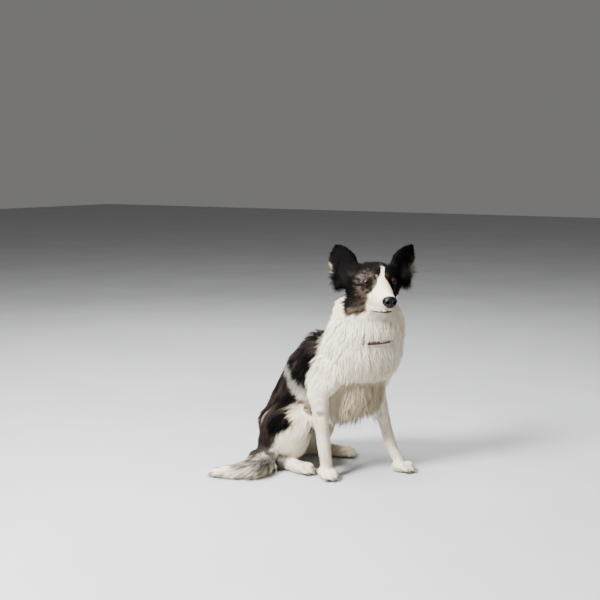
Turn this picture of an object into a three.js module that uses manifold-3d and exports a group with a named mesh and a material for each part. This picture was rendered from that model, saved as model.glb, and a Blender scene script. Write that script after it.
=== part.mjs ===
// A sitting collie at life size, as a still museum model: each named part of the body is one closed solid,
// out to the tips of the coat. Millimetres, +Z up. The dog faces -Y, so +X is its left side, and it rests on
// the floor at z = 0 on small flats under the rump, the hocks, the four paws and the tail.
import * as THREE from "three";
import { mergeVertices } from "three/addons/utils/BufferGeometryUtils.js";
import Module from "manifold-3d";

const wasm = await Module();
wasm.setup();

// ---- Driving dimensions -------------------------------------------------------------------------------------

const GAP = 0.4; // left between two pieces that touch

const CHEST_YAW = -25; // degrees that the shoulders are turned to the dog's right of the hips
const HEAD_YAW = -43; // and the head, which looks further round
const HEAD_PITCH = 2; // degrees that the muzzle points up

const HEAD_AT = [-16, -170, 533]; // middle of the skull, between eyes and ears
const EYE_RADIUS = 12.5;
const EYE_AT = { ahead: 36, aside: 36, up: 17 };
const NOSE_AT = { ahead: 122, up: -30 };
const EARS = {
  right: { base: [-25, 66, 18], tip: [-38, 93, 112] }, // ahead, aside and up from the middle of the skull
  left: { base: [-25, 70, 18], tip: [-34, 114, 108] },
};

const TOE_RADIUS = 11;
const CLAW_LENGTH = 12;

const COLLAR_WIDTH = 10;
const COLLAR_THICKNESS = 4;
const COLLAR_DEPTH = 13; // how far it lies in the coat at the nape; on the breast it just shows
const COLLAR_TILT = 17; // degrees that it hangs lower on the breast than on the nape
const COLLAR_AT = [-2, -124, 412]; // its middle

// ---- Materials ----------------------------------------------------------------------------------------------

const finish = (color, roughness, metalness = 0) =>
  new THREE.MeshStandardMaterial({ color, roughness, metalness });
const MATERIALS = {
  whiteCoat: finish("#e4ded2", 0.8),
  darkCoat: finish("#3a322e", 0.75),
  blackCoat: finish("#15120f", 0.7),
  noseLeather: finish("#17151a", 0.4),
  eye: finish("#4a2412", 0.08),
  claw: finish("#4b423a", 0.45),
  collar: finish("#6d3d2b", 0.5),
};

// ---- Making solids ------------------------------------------------------------------------------------------

const vector = (values) => new THREE.Vector3(...values);
const radians = THREE.MathUtils.degToRad;
const UP = new THREE.Vector3(0, 0, 1);

/** A closed three.js geometry as a manifold-3d solid. */
function solidOf(geometry) {
  const bare = geometry.clone();
  for (const name of ["normal", "uv"]) bare.deleteAttribute(name);
  const merged = mergeVertices(bare, 1e-4);
  return new wasm.Manifold(
    new wasm.Mesh({
      numProp: 3,
      vertProperties: merged.attributes.position.array,
      triVerts: new Uint32Array(merged.index.array),
    }),
  );
}

/** The largest body of a solid, without the slivers that a cut leaves. */
function mainBody(solid) {
  return solid.decompose().reduce((a, b) => (a.volume() > b.volume() ? a : b));
}

/**
 * A closed tube through stations [x, y, z, half width, dorsal height, ventral height, yaw in degrees], listed
 * from tail to head or from the shoulder down. The dorsal side is the tangent crossed with the lateral axis:
 * the back of the trunk, the front of a leg. A level tube takes its lateral axis from its line and needs no
 * yaw. Both ends are rounded over the lengths in `domes`, with a ring for each of `domeSteps`, which are
 * shares of a quarter turn away from the end.
 */
function tube(stations, options = {}) {
  const { rings = 12, sides = 18, grow = 0, square = 2.2, domes = [15, 15], domeSteps = [0.62] } = options;
  const line = new THREE.CatmullRomCurve3(stations.map((s) => vector(s.slice(0, 3))));
  const sizes = new THREE.CatmullRomCurve3(stations.map((s) => vector(s.slice(3, 6))));
  const yaws = new THREE.CatmullRomCurve3(stations.map((s) => vector([s[6] ?? 0, 0, 0])));
  const positions = [];
  const addRing = (t, scale, shift) => {
    const tangent = line.getTangent(t);
    const centre = line.getPoint(t).addScaledVector(tangent, shift);
    const size = sizes.getPoint(t).addScalar(grow).multiplyScalar(scale);
    const lateral = options.level
      ? UP.clone().cross(tangent)
      : new THREE.Vector3(1, 0, 0).applyAxisAngle(UP, radians(yaws.getPoint(t).x));
    const dorsal = new THREE.Vector3().crossVectors(tangent, lateral).normalize();
    const side = new THREE.Vector3().crossVectors(dorsal, tangent).normalize();
    for (let i = 0; i < sides; i++) {
      const angle = (i / sides) * 2 * Math.PI;
      const [c, s] = [Math.cos(angle), Math.sin(angle)];
      const bulge = (Math.abs(c) ** square + Math.abs(s) ** square) ** (-1 / square);
      const point = centre
        .clone()
        .addScaledVector(side, bulge * c * size.x)
        .addScaledVector(dorsal, bulge * s * (s > 0 ? size.y : size.z));
      positions.push(point.x, point.y, point.z);
    }
  };
  const addDome = (t, sign, length, steps) => {
    for (const step of steps) {
      const angle = (step * Math.PI) / 2;
      addRing(t, Math.cos(angle), sign * (length + grow) * Math.sin(angle));
    }
  };
  addDome(0, -1, domes[0], [...domeSteps].reverse());
  for (let r = 0; r < rings; r++) addRing(r / (rings - 1), 1, 0);
  addDome(1, 1, domes[1], domeSteps);
  const ringCount = positions.length / 3 / sides;
  for (const [t, sign, dome] of [[0, -1, domes[0]], [1, 1, domes[1]]]) {
    const pole = line.getPoint(t).addScaledVector(line.getTangent(t), sign * (dome + grow));
    positions.push(pole.x, pole.y, pole.z);
  }
  const [firstPole, lastPole] = [ringCount * sides, ringCount * sides + 1];
  const index = [];
  for (let i = 0; i < sides; i++) {
    const next = (i + 1) % sides;
    const last = (ringCount - 1) * sides;
    index.push(firstPole, next, i, lastPole, last + i, last + next);
    for (let r = 0; r < ringCount - 1; r++) {
      const [a, b] = [r * sides, (r + 1) * sides];
      index.push(a + i, a + next, b + i, b + i, a + next, b + next);
    }
  }
  const geometry = new THREE.BufferGeometry();
  geometry.setAttribute("position", new THREE.Float32BufferAttribute(positions, 3));
  geometry.setIndex(index);
  const solid = solidOf(geometry);
  if (solid.volume() > 0) return solid;
  geometry.setIndex(index.reverse());
  return solidOf(geometry);
}

/** An ellipsoid of the given half sizes, turned by a quaternion and placed. */
function ellipsoid(at, radii, turn = new THREE.Quaternion(), [around, high] = [20, 12]) {
  const geometry = new THREE.SphereGeometry(1, around, high);
  geometry.scale(...radii);
  geometry.applyQuaternion(turn);
  geometry.translate(...at);
  return solidOf(geometry);
}

/** Cuts a solid level with the floor, which leaves the flats that the dog rests on. */
function onFloor(solid) {
  const DEEP = 200;
  const WIDE = 3000;
  const ground = new THREE.BoxGeometry(WIDE, WIDE, DEEP);
  ground.translate(0, 0, -DEEP / 2);
  return solid.subtract(solidOf(ground));
}

// ---- Trunk and neck -----------------------------------------------------------------------------------------

/** The rump, loin and rib cage, from the seat up to the shoulders. */
function trunk(grow = 0) {
  return tube(
    [
      [16, 158, 22, 84, 64, 60, 0],
      [14, 148, 88, 92, 67, 76, 0],
      [10, 116, 160, 92, 67, 84, -3],
      [6, 72, 232, 90, 69, 94, -9],
      [0, 18, 298, 96, 78, 108, -17],
      [-6, -42, 340, 100, 74, 118, CHEST_YAW],
    ],
    { rings: 9, sides: 16, grow, square: 2.15, domes: [30, 50] },
  );
}

/** The brisket and its fringe, which hang between the forelegs and run back under the ribs. */
function brisket(grow = 0) {
  return tube(
    [
      [26, 30, 196, 50, 40, 48, -10],
      [14, -40, 206, 62, 50, 58, -18],
      [6, -104, 236, 74, 60, 66, CHEST_YAW],
      [0, -142, 276, 76, 40, 50, CHEST_YAW],
    ],
    { rings: 5, sides: 12, grow, domes: [30, 34] },
  );
}

/** The neck in its ruff, from the shoulders and breast up to the back of the skull. */
function neck(grow = 0, ahead = 0) {
  const [x, y] = [ahead * Math.sin(radians(CHEST_YAW)), -ahead * Math.cos(radians(CHEST_YAW))];
  return tube(
    [
      [2 + x, -98 + y, 306, 108, 84, 90, CHEST_YAW],
      [4 + x, -116 + y, 352, 120, 86, 98, CHEST_YAW - 3],
      [2 + x, -130 + y, 402, 118, 76, 88, CHEST_YAW - 6],
      [-1 + x, -139 + y, 450, 106, 68, 74, CHEST_YAW - 9],
      [6 + x, -132 + y, 498, 84, 56, 62, HEAD_YAW],
    ],
    { rings: 8, sides: 16, grow, square: 2.15, domes: [46, 30] },
  );
}

// ---- Head ---------------------------------------------------------------------------------------------------

const headTurn = new THREE.Quaternion()
  .setFromAxisAngle(UP, radians(HEAD_YAW))
  .multiply(new THREE.Quaternion().setFromAxisAngle(new THREE.Vector3(1, 0, 0), -radians(HEAD_PITCH)));

/** A place on the head: how far ahead of the skull's middle, to its left and up. */
function onHead(ahead, aside, up) {
  return vector([aside, -ahead, up]).applyQuaternion(headTurn).add(vector(HEAD_AT));
}

/** A tube along the head: stations are [ahead, up, half width, above, below], with `aside` common to all. */
function headTube(stations, options, aside = 0) {
  const placed = stations.map(([ahead, up, ...sizes]) => [
    ...onHead(ahead, aside, up).toArray(),
    ...sizes,
    HEAD_YAW,
  ]);
  return tube(placed, options);
}

function skull(grow = 0) {
  return headTube(
    [
      [-62, 2, 56, 52, 58],
      [-30, 4, 75, 62, 74],
      [-2, 3, 73, 62, 78],
      [20, -3, 58, 54, 68],
      [37, -9, 43, 45, 57],
      [54, -17, 33, 33, 44],
      [76, -23, 30, 25, 36],
      [98, -27, 27, 20, 28],
      [112, -30, 23, 16, 20],
    ],
    { rings: 11, sides: 18, grow, square: 2.25, domes: [20, 10] },
  );
}

function jaw(grow = 0) {
  return headTube(
    [
      [28, -52, 32, 12, 15],
      [64, -54, 25, 10, 12],
      [100, -54, 18, 8, 9],
    ],
    { rings: 4, sides: 12, grow, domes: [16, 11] },
  );
}

function eye(side, grow = 0) {
  const r = EYE_RADIUS + grow;
  const at = onHead(EYE_AT.ahead, side * EYE_AT.aside, EYE_AT.up);
  return ellipsoid(at.toArray(), [r, r, r], undefined, [11, 7]);
}

function nose(grow = 0) {
  const at = onHead(NOSE_AT.ahead, 0, NOSE_AT.up).toArray();
  const pad = ellipsoid(at, [18.5 + grow, 13 + grow, 14 + grow], headTurn, [12, 7]);
  if (grow > 0) return pad;
  return [-1, 1].reduce((solid, side) => {
    const nostril = onHead(NOSE_AT.ahead + 11, side * 9, NOSE_AT.up - 1).toArray();
    return solid.subtract(ellipsoid(nostril, [4, 6, 3.5], headTurn, [6, 4]));
  }, pad);
}

/** An ear: a leaf-shaped shell that stands up and out, hollowed on the side that faces ahead. */
function ear(name, side, grow = 0) {
  const place = ([ahead, aside, up]) => onHead(ahead, side * aside, up);
  const base = place(EARS[name].base);
  const axis = place(EARS[name].tip).sub(base);
  const yaw = HEAD_YAW + side * 18;
  const open = new THREE.Vector3(0, -1, 0).applyAxisAngle(UP, radians(yaw));
  const station = (share, half, thick, back) => [
    ...base.clone().addScaledVector(axis, share).addScaledVector(open, -back).toArray(),
    half,
    thick,
    thick,
    yaw,
  ];
  const leaf = tube(
    [
      station(-0.1, 32, 14, 0),
      station(0.2, 40, 13, 3),
      station(0.5, 42, 10, 6),
      station(0.76, 35, 8, 5),
      station(0.95, 18, 6, 2),
    ],
    { rings: 7, sides: 12, grow, domes: [8, 9] },
  );
  if (grow > 0) return leaf;
  const hollow = base.clone().addScaledVector(axis, 0.42).addScaledVector(open, 18);
  return leaf.subtract(ellipsoid(hollow.toArray(), [31, 16, 41], earTurn(axis, yaw), [10, 6]));
}

/** Turns a shape that stands on Z so that it stands along the axis, facing the yaw. */
function earTurn(axis, yaw) {
  const facing = new THREE.Quaternion().setFromAxisAngle(UP, radians(yaw));
  return new THREE.Quaternion().setFromUnitVectors(UP, axis.clone().normalize()).multiply(facing);
}

// ---- Legs ---------------------------------------------------------------------------------------------------

const FORELEGS = {
  right: {
    shoulder: [-74, -80, 322],
    elbow: [-88, -36, 244],
    wrist: [-89, -57, 76],
    paw: [-92, -67],
    yaw: -26,
    girth: 1,
  },
  left: {
    shoulder: [62, -140, 326],
    elbow: [70, -126, 245],
    wrist: [84, -172, 70],
    paw: [84, -206],
    yaw: 10,
    girth: 0.9,
  },
};
const HINDLEGS = {
  right: { hip: [-52, 128, 106], knee: [-92, 10, 158], hock: [-73, 116, 28], paw: [-84, 18], yaw: 4 },
  left: { hip: [80, 134, 106], knee: [112, 44, 150], hock: [98, 106, 28], paw: [124, 6], yaw: 16 },
};

/** The shoulder and upper arm, down to the elbow. */
function upperArm({ shoulder, elbow }, grow = 0) {
  const [s, e] = [vector(shoulder), vector(elbow)];
  const middle = s.clone().lerp(e, 0.5);
  return tube(
    [
      [...s.toArray(), 38, 54, 66, CHEST_YAW],
      [...middle.toArray(), 36, 46, 56, CHEST_YAW / 2],
      [...e.toArray(), 28, 34, 38, 0],
    ],
    { rings: 5, sides: 14, grow, domes: [52, 30] },
  );
}

/** The forearm, wrist and pastern, down to the top of the paw. */
function forearm({ elbow, wrist, paw, yaw, girth }, grow = 0) {
  const [e, w] = [vector(elbow), vector(wrist)];
  const knuckle = vector([...paw, 24]).lerp(w, 0.18);
  const station = (at, turn, ...sizes) => [...at.toArray(), ...sizes.map((size) => size * girth), turn];
  const along = (share) => e.clone().lerp(w, share);
  return tube(
    [
      station(along(-0.05), 0, 27, 32, 34),
      station(along(0.25), 0, 23, 27, 30),
      station(along(0.6), yaw / 2, 19, 21, 26),
      station(w, yaw, 20, 20, 23),
      station(w.clone().lerp(knuckle, 0.55), yaw, 19, 17, 20),
      station(knuckle, yaw, 21, 16, 19),
    ],
    { rings: 8, sides: 10, grow, domes: [20, 10] },
  );
}

/** The haunch, from the hip to the knee, with its breeches behind. */
function thigh({ hip, knee }, grow = 0) {
  const [h, k] = [vector(hip), vector(knee)];
  const along = (share) => h.clone().lerp(k, share).toArray();
  return tube(
    [
      [...along(-0.12), 42, 78, 98, 0],
      [...along(0.3), 46, 76, 98, 0],
      [...along(0.7), 40, 55, 80, 0],
      [...along(1), 31, 37, 44, 0],
    ],
    { rings: 6, sides: 16, grow, domes: [48, 26] },
  );
}

/** The second thigh, back and down from the knee to the hock. */
function shank({ knee, hock }, grow = 0) {
  const [k, h] = [vector(knee), vector(hock)];
  const along = (share) => k.clone().lerp(h, share).toArray();
  return tube(
    [
      [...along(0), 28, 32, 34, 0],
      [...along(0.4), 24, 30, 28, 0],
      [...along(0.75), 20, 22, 20, 0],
      [...along(1), 19, 19, 19, 0],
    ],
    { rings: 5, sides: 10, grow, domes: [22, 14] },
  );
}

/** The long hind foot, flat on the floor from the hock to the top of the paw. */
function metatarsus({ hock, paw, yaw }, grow = 0) {
  const h = vector(hock);
  const end = vector([...paw, 24]);
  const along = (share, height) => h.clone().lerp(end, share).setZ(height).toArray();
  return tube(
    [
      [...along(0, 24), 20, 20, 26, yaw],
      [...along(0.5, 20), 19, 19, 22, yaw],
      [...along(0.85, 19), 22, 19, 21, yaw],
    ],
    { rings: 4, sides: 10, grow, domes: [18, 10] },
  );
}

const TOES = [
  { aside: -1.5, ahead: 12 },
  { aside: -0.52, ahead: 24 },
  { aside: 0.52, ahead: 24 },
  { aside: 1.5, ahead: 12 },
];
const TOE_SPACING = 16;

/** A place in a paw's own frame: ahead of its middle, to its left and above the floor. */
function onPaw({ paw, yaw }, ahead, aside, up) {
  return vector([aside, -ahead, up]).applyAxisAngle(UP, radians(yaw)).add(vector([...paw, 0]));
}

function toe(foot, { aside, ahead }, grow = 0) {
  const station = (along, up, wide, high) => [
    ...onPaw(foot, along, aside * TOE_SPACING * (0.72 + along / 130), up).toArray(),
    wide,
    high,
    high,
    foot.yaw,
  ];
  return tube(
    [
      station(ahead - 32, 21, TOE_RADIUS - 1, 12),
      station(ahead - 12, 25, TOE_RADIUS, 12),
      station(ahead + 2, 17, TOE_RADIUS, 12),
      station(ahead + 7, 10, TOE_RADIUS - 2, 9),
    ],
    { rings: 3, sides: 6, grow, domes: [8, 5] },
  );
}

/** A paw: the pad in the middle and four arched toes, joined. */
function pawSolid(foot, grow = 0) {
  const turn = new THREE.Quaternion().setFromAxisAngle(UP, radians(foot.yaw));
  const pad = ellipsoid(onPaw(foot, -8, 0, 15).toArray(), [24 + grow, 27 + grow, 18 + grow], turn, [8, 5]);
  return TOES.reduce((solid, t) => solid.add(toe(foot, t, grow)), pad);
}

/** A claw that curves down from the end of a toe. */
function claw(foot, { aside, ahead }, grow = 0) {
  const geometry = new THREE.ConeGeometry(3.4 + grow, CLAW_LENGTH + 2 * grow, 5);
  const point = new THREE.Vector3(0, -0.86, -0.5).applyAxisAngle(UP, radians(foot.yaw)).normalize();
  geometry.applyQuaternion(new THREE.Quaternion().setFromUnitVectors(new THREE.Vector3(0, 1, 0), point));
  const at = onPaw(foot, ahead + 16, aside * TOE_SPACING * (0.72 + (ahead + 7) / 130), 9);
  geometry.translate(...at.toArray());
  return solidOf(geometry);
}

// ---- Tail ---------------------------------------------------------------------------------------------------

const TAIL = [
  [14, 196, 30, 28, 24, 30],
  [-42, 186, 28, 38, 25, 28],
  [-98, 142, 28, 48, 31, 28],
  [-148, 120, 28, 48, 28, 30],
  [-196, 136, 24, 40, 25, 26],
  [-228, 176, 18, 28, 19, 20],
  [-246, 208, 13, 15, 13, 14],
];
const TAIL_TIP_FROM = 3; // the station where the white tip starts

/** The tail, laid round the dog's right side on the floor: the root, or the tip that follows it. */
function tailLength(from, to, grow = 0) {
  const end = to === TAIL.length;
  return tube(TAIL.slice(from, to), { rings: 5, sides: 10, grow, domes: [16, end ? 14 : 12], level: true });
}

// ---- Collar -------------------------------------------------------------------------------------------------

/** A plain leather band round the neck, sunk in the ruff: it shows on the breast alone. */
function collar(grow = 0) {
  const half = COLLAR_THICKNESS / 2 + grow;
  const ahead = COLLAR_DEPTH + COLLAR_THICKNESS / 2;
  const band = neck(half - COLLAR_DEPTH, ahead).subtract(neck(-half - COLLAR_DEPTH, ahead));
  const WIDE = 500;
  const level = new THREE.BoxGeometry(WIDE, WIDE, COLLAR_WIDTH + 2 * grow);
  level.rotateX(radians(COLLAR_TILT));
  level.rotateZ(radians(CHEST_YAW));
  level.translate(...COLLAR_AT);
  return band.intersect(solidOf(level));
}

// ---- Assembly -----------------------------------------------------------------------------------------------

const dog = new THREE.Group();

/** Adds a piece that stops at the floor and is cut clear of its neighbours, which are grown by the gap. */
function addPiece(name, shape, material, cutters = []) {
  let solid = onFloor(shape(0));
  for (const cutter of cutters) solid = solid.subtract(cutter(GAP));
  const body = mainBody(solid);
  const mesh = body.getMesh();
  const geometry = new THREE.BufferGeometry();
  geometry.setAttribute("position", new THREE.BufferAttribute(mesh.vertProperties, 3));
  geometry.setIndex(new THREE.BufferAttribute(mesh.triVerts, 1));
  geometry.computeVertexNormals();
  const piece = new THREE.Mesh(geometry, material);
  piece.name = name;
  dog.add(piece);
}

const { whiteCoat, darkCoat, blackCoat, noseLeather, eye: eyeFinish, claw: horn, collar: leather } = MATERIALS;
const eyes = [-1, 1].map((side) => (grow) => eye(side, grow));
const tailRoot = (grow) => tailLength(0, TAIL_TIP_FROM + 1, grow);
const tailTip = (grow) => tailLength(TAIL_TIP_FROM, TAIL.length, grow);

addPiece("collar", collar, leather);
addPiece("trunk", trunk, darkCoat, [collar]);
addPiece("neck", neck, whiteCoat, [collar, trunk, skull, jaw]);
addPiece("brisket", brisket, whiteCoat, [trunk, neck]);
addPiece("head", skull, whiteCoat, [jaw, nose, ...eyes]);
addPiece("jaw", jaw, whiteCoat, [nose]);
addPiece("nose", nose, noseLeather);
for (const [name, side] of [["right", -1], ["left", 1]]) {
  addPiece(`eye_${name}`, (grow) => eye(side, grow), eyeFinish);
  addPiece(`ear_${name}`, (grow) => ear(name, side, grow), blackCoat, [skull, neck]);

  const foreleg = FORELEGS[name];
  const arm = (grow) => upperArm(foreleg, grow);
  const fore = (grow) => forearm(foreleg, grow);
  const frontPaw = (grow) => pawSolid(foreleg, grow);
  addPiece(`upper_arm_${name}`, arm, whiteCoat, [trunk, neck, brisket, collar]);
  addPiece(`forearm_${name}`, fore, whiteCoat, [arm, trunk, neck, brisket]);

  const hindleg = HINDLEGS[name];
  const haunch = (grow) => thigh(hindleg, grow);
  const lower = (grow) => shank(hindleg, grow);
  const foot = (grow) => metatarsus(hindleg, grow);
  const hindPaw = (grow) => pawSolid(hindleg, grow);
  addPiece(`thigh_${name}`, haunch, darkCoat, [trunk, brisket, arm]);
  addPiece(`shank_${name}`, lower, whiteCoat, [haunch, trunk, brisket]);
  addPiece(`hind_foot_${name}`, foot, whiteCoat, [lower, haunch, trunk]);

  const paws = [
    ["front", foreleg, frontPaw, [fore]],
    ["hind", hindleg, hindPaw, [foot, lower, haunch]],
  ];
  for (const [end, leg, shape, cutters] of paws) {
    addPiece(`${end}_paw_${name}`, shape, whiteCoat, cutters);
    TOES.forEach((t, i) => addPiece(`${end}_claw_${name}_${i + 1}`, (grow) => claw(leg, t, grow), horn, [shape]));
  }
}
const besideTail = ["right", "left"].flatMap((name) =>
  [thigh, shank, metatarsus].map((shape) => (grow) => shape(HINDLEGS[name], grow)),
);
addPiece("tail_root", tailRoot, darkCoat, [trunk, ...besideTail]);
addPiece("tail_tip", tailTip, whiteCoat, [tailRoot, ...besideTail]);

// The frame's origin is the middle of the footprint, on the floor.
const bounds = new THREE.Box3().setFromObject(dog);
const middle = bounds.getCenter(new THREE.Vector3());
dog.position.set(-middle.x, -middle.y, 0);

export default dog;
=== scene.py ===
"""A life-size museum model of a sitting long-haired collie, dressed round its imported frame.

Lengths are metres in the frame's own axes: Z is up and the floor lies at Z 0. The head has axes of its own,
which are found from its two eyes: ahead, aside (towards the animal's left) and up, in millimetres.
"""

import logging
import math
from dataclasses import dataclass, field
from enum import Enum

import bpy
import numpy as np
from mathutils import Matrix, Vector
from mathutils.bvhtree import BVHTree
from mathutils.kdtree import KDTree


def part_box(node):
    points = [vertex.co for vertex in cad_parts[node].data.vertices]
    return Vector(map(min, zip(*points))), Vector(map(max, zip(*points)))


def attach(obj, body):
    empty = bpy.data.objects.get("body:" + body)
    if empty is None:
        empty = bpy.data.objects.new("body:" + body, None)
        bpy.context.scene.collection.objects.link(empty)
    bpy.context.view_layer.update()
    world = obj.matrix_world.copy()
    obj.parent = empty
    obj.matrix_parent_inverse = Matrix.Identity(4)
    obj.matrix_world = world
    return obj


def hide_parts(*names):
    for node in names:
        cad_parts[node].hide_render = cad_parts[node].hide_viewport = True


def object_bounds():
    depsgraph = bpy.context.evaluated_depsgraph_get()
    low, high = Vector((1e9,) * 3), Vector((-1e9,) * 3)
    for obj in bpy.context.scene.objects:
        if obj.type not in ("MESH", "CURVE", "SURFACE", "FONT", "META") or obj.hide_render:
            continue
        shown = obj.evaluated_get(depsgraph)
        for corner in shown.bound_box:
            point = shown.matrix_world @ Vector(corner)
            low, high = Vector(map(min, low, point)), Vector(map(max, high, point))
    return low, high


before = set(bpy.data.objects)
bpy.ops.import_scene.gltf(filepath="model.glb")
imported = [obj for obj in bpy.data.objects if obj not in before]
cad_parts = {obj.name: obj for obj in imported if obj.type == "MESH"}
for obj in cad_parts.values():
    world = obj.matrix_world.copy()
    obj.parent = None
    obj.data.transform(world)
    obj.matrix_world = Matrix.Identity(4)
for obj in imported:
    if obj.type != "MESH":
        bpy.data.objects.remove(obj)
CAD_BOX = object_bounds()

LOG = logging.getLogger("collie")
BODY = "root"
SIDES = ("right", "left")
MM = 0.001
UP = np.array((0.0, 0.0, 1.0))
SEED = 20
COLOUR = "coat_colour"
STRAND = "strand"
BAKE = "OFBake"
# The closed lips' edge, from the right corner to below the nose: ahead, aside and up in the head's axes.
LIPS = ((36, -36, -62), (50, -30, -61.5), (66, -24, -61), (84, -19, -59), (98, -15, -56.5), (108, -9, -55.5),
        (112, 0, -54))


# ---------------------------------------------------------------- small helpers


def unit(vectors: np.ndarray) -> np.ndarray:
    """Vectors of length 1 in the same directions."""
    length = np.linalg.norm(vectors, axis=-1, keepdims=True)
    return vectors / np.maximum(length, 1e-9)


def smoothstep(low: float, high: float, value: np.ndarray) -> np.ndarray:
    """0 below low, 1 above high and a smooth ramp between them."""
    t = np.clip((value - low) / (high - low), 0, 1)
    return t * t * (3 - 2 * t)


def blend(first: np.ndarray, second: np.ndarray, share: np.ndarray) -> np.ndarray:
    """Colours on the way from first to second, by a share for each point."""
    return first + (second - first) * share[:, None]


def tone(red: int, green: int, blue: int) -> np.ndarray:
    """A colour given as display values from 0 to 255, as linear light."""
    c = np.array((red, green, blue)) / 255
    return np.where(c <= 0.04045, c / 12.92, ((c + 0.055) / 1.055) ** 2.4)


def centre_of(node: str) -> np.ndarray:
    """The middle of a frame node's box."""
    low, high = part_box(node)
    return np.array((low + high) / 2)


def noise(points: np.ndarray, scale: float, seed: int) -> np.ndarray:
    """Smooth seeded noise from -1 to 1.

    Args:
        points: Places, one a row.
        scale: The size of the noise's lattice cells, in the points' unit.
        seed: A number that picks the pattern.

    Returns:
        One value for each point.
    """
    q = points / scale
    cell = np.floor(q).astype(np.int64)
    f = q - cell
    f = f * f * (3 - 2 * f)
    total = np.zeros(len(points))
    for corner in np.ndindex(2, 2, 2):
        x, y, z = (cell + corner).T
        h = x * 374761393 + y * 668265263 + z * 1440662683 + seed * 974634777
        h = (h ^ (h >> 13)) * 1274126177
        h = (h ^ (h >> 16)) & 0xFFFF
        share = np.prod(np.where(np.array(corner) == 1, f, 1 - f), axis=1)
        total += share * h
    return total / 0xFFFF * 2 - 1


def outline_distance(points: np.ndarray, outline: np.ndarray) -> np.ndarray:
    """The distance of flat points from a closed outline, positive inside it.

    Args:
        points: Flat places, one a row.
        outline: The outline's corners in order.

    Returns:
        One signed distance for each point.
    """
    nearest = np.full(len(points), 1e9)
    inside = np.zeros(len(points), bool)
    for a, b in zip(outline, np.roll(outline, -1, axis=0)):
        edge = b - a
        t = np.clip((points - a) @ edge / (edge @ edge), 0, 1)
        nearest = np.minimum(nearest, np.linalg.norm(points - a - t[:, None] * edge, axis=1))
        spans = (a[1] > points[:, 1]) != (b[1] > points[:, 1])
        rise = b[1] - a[1] if b[1] != a[1] else 1e-9
        inside ^= spans & (points[:, 0] < a[0] + (points[:, 1] - a[1]) * edge[0] / rise)
    return np.where(inside, nearest, -nearest)


def link(name: str, data: bpy.types.ID) -> bpy.types.Object:
    """A new object that shows the data, in the scene's collection."""
    made = bpy.data.objects.new(name, data)
    bpy.context.scene.collection.objects.link(made)
    return made


def mesh_of(name: str, points: np.ndarray, faces: list) -> bpy.types.Mesh:
    """A new mesh of vertices and of faces that are lists of vertex numbers."""
    mesh = bpy.data.meshes.new(name)
    mesh.from_pydata(np.asarray(points).tolist(), [], [list(map(int, f)) for f in faces])
    return mesh


def mesh_object(name: str, points: np.ndarray, faces: list, material: bpy.types.Material) -> bpy.types.Object:
    """A new smooth-shaded mesh object.

    Args:
        name: The piece's name.
        points: Its vertices.
        faces: Its faces, as vertex numbers.
        material: What it is made of.

    Returns:
        The object, in the scene's collection.
    """
    mesh = mesh_of(name, points, faces)
    mesh.polygons.foreach_set("use_smooth", np.ones(len(mesh.polygons), bool))
    mesh.materials.append(material)
    return link(name, mesh)


def surface_tree(points: np.ndarray, faces: list) -> BVHTree:
    """A tree that finds places on a surface."""
    return BVHTree.FromPolygons([Vector(p) for p in points], faces)


def grid_faces(rows: int, around: int, close_rows: bool = False, close_round: bool = True,
               flip: bool = False) -> list[tuple[int, ...]]:
    """Faces between neighbouring rows of points.

    Args:
        rows: How many rows there are.
        around: How many points each row has.
        close_rows: Whether the last row joins the first.
        close_round: Whether each row is a closed ring.
        flip: Whether the faces run the other way round.

    Returns:
        The faces, as vertex numbers.
    """
    made = []
    for row in range(rows if close_rows else rows - 1):
        here, after = row * around, (row + 1) % rows * around
        for turn in range(around if close_round else around - 1):
            beside = (turn + 1) % around
            a, b, c, d = here + turn, here + beside, after + beside, after + turn
            made.append((a, d, c, b) if flip else (a, b, c, d))
    return made


def place(piece: bpy.types.Object, nodes: tuple[str, ...] = ()) -> bpy.types.Object:
    """Puts a piece on the body and the frame nodes that it stands for."""
    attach(piece, BODY)
    if nodes:
        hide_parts(*nodes)
    LOG.info("%s: %d faces", piece.name, len(piece.data.polygons))
    return piece


def vertex_colours(mesh: bpy.types.Mesh, colours: np.ndarray) -> None:
    """Stores one linear colour for each vertex, for the finish to read."""
    layer = mesh.color_attributes.new(COLOUR, "FLOAT_COLOR", "POINT")
    layer.data.foreach_set("color", np.c_[colours, np.ones(len(colours))].astype(np.float32).ravel())


# ---------------------------------------------------------------- finishes


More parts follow.
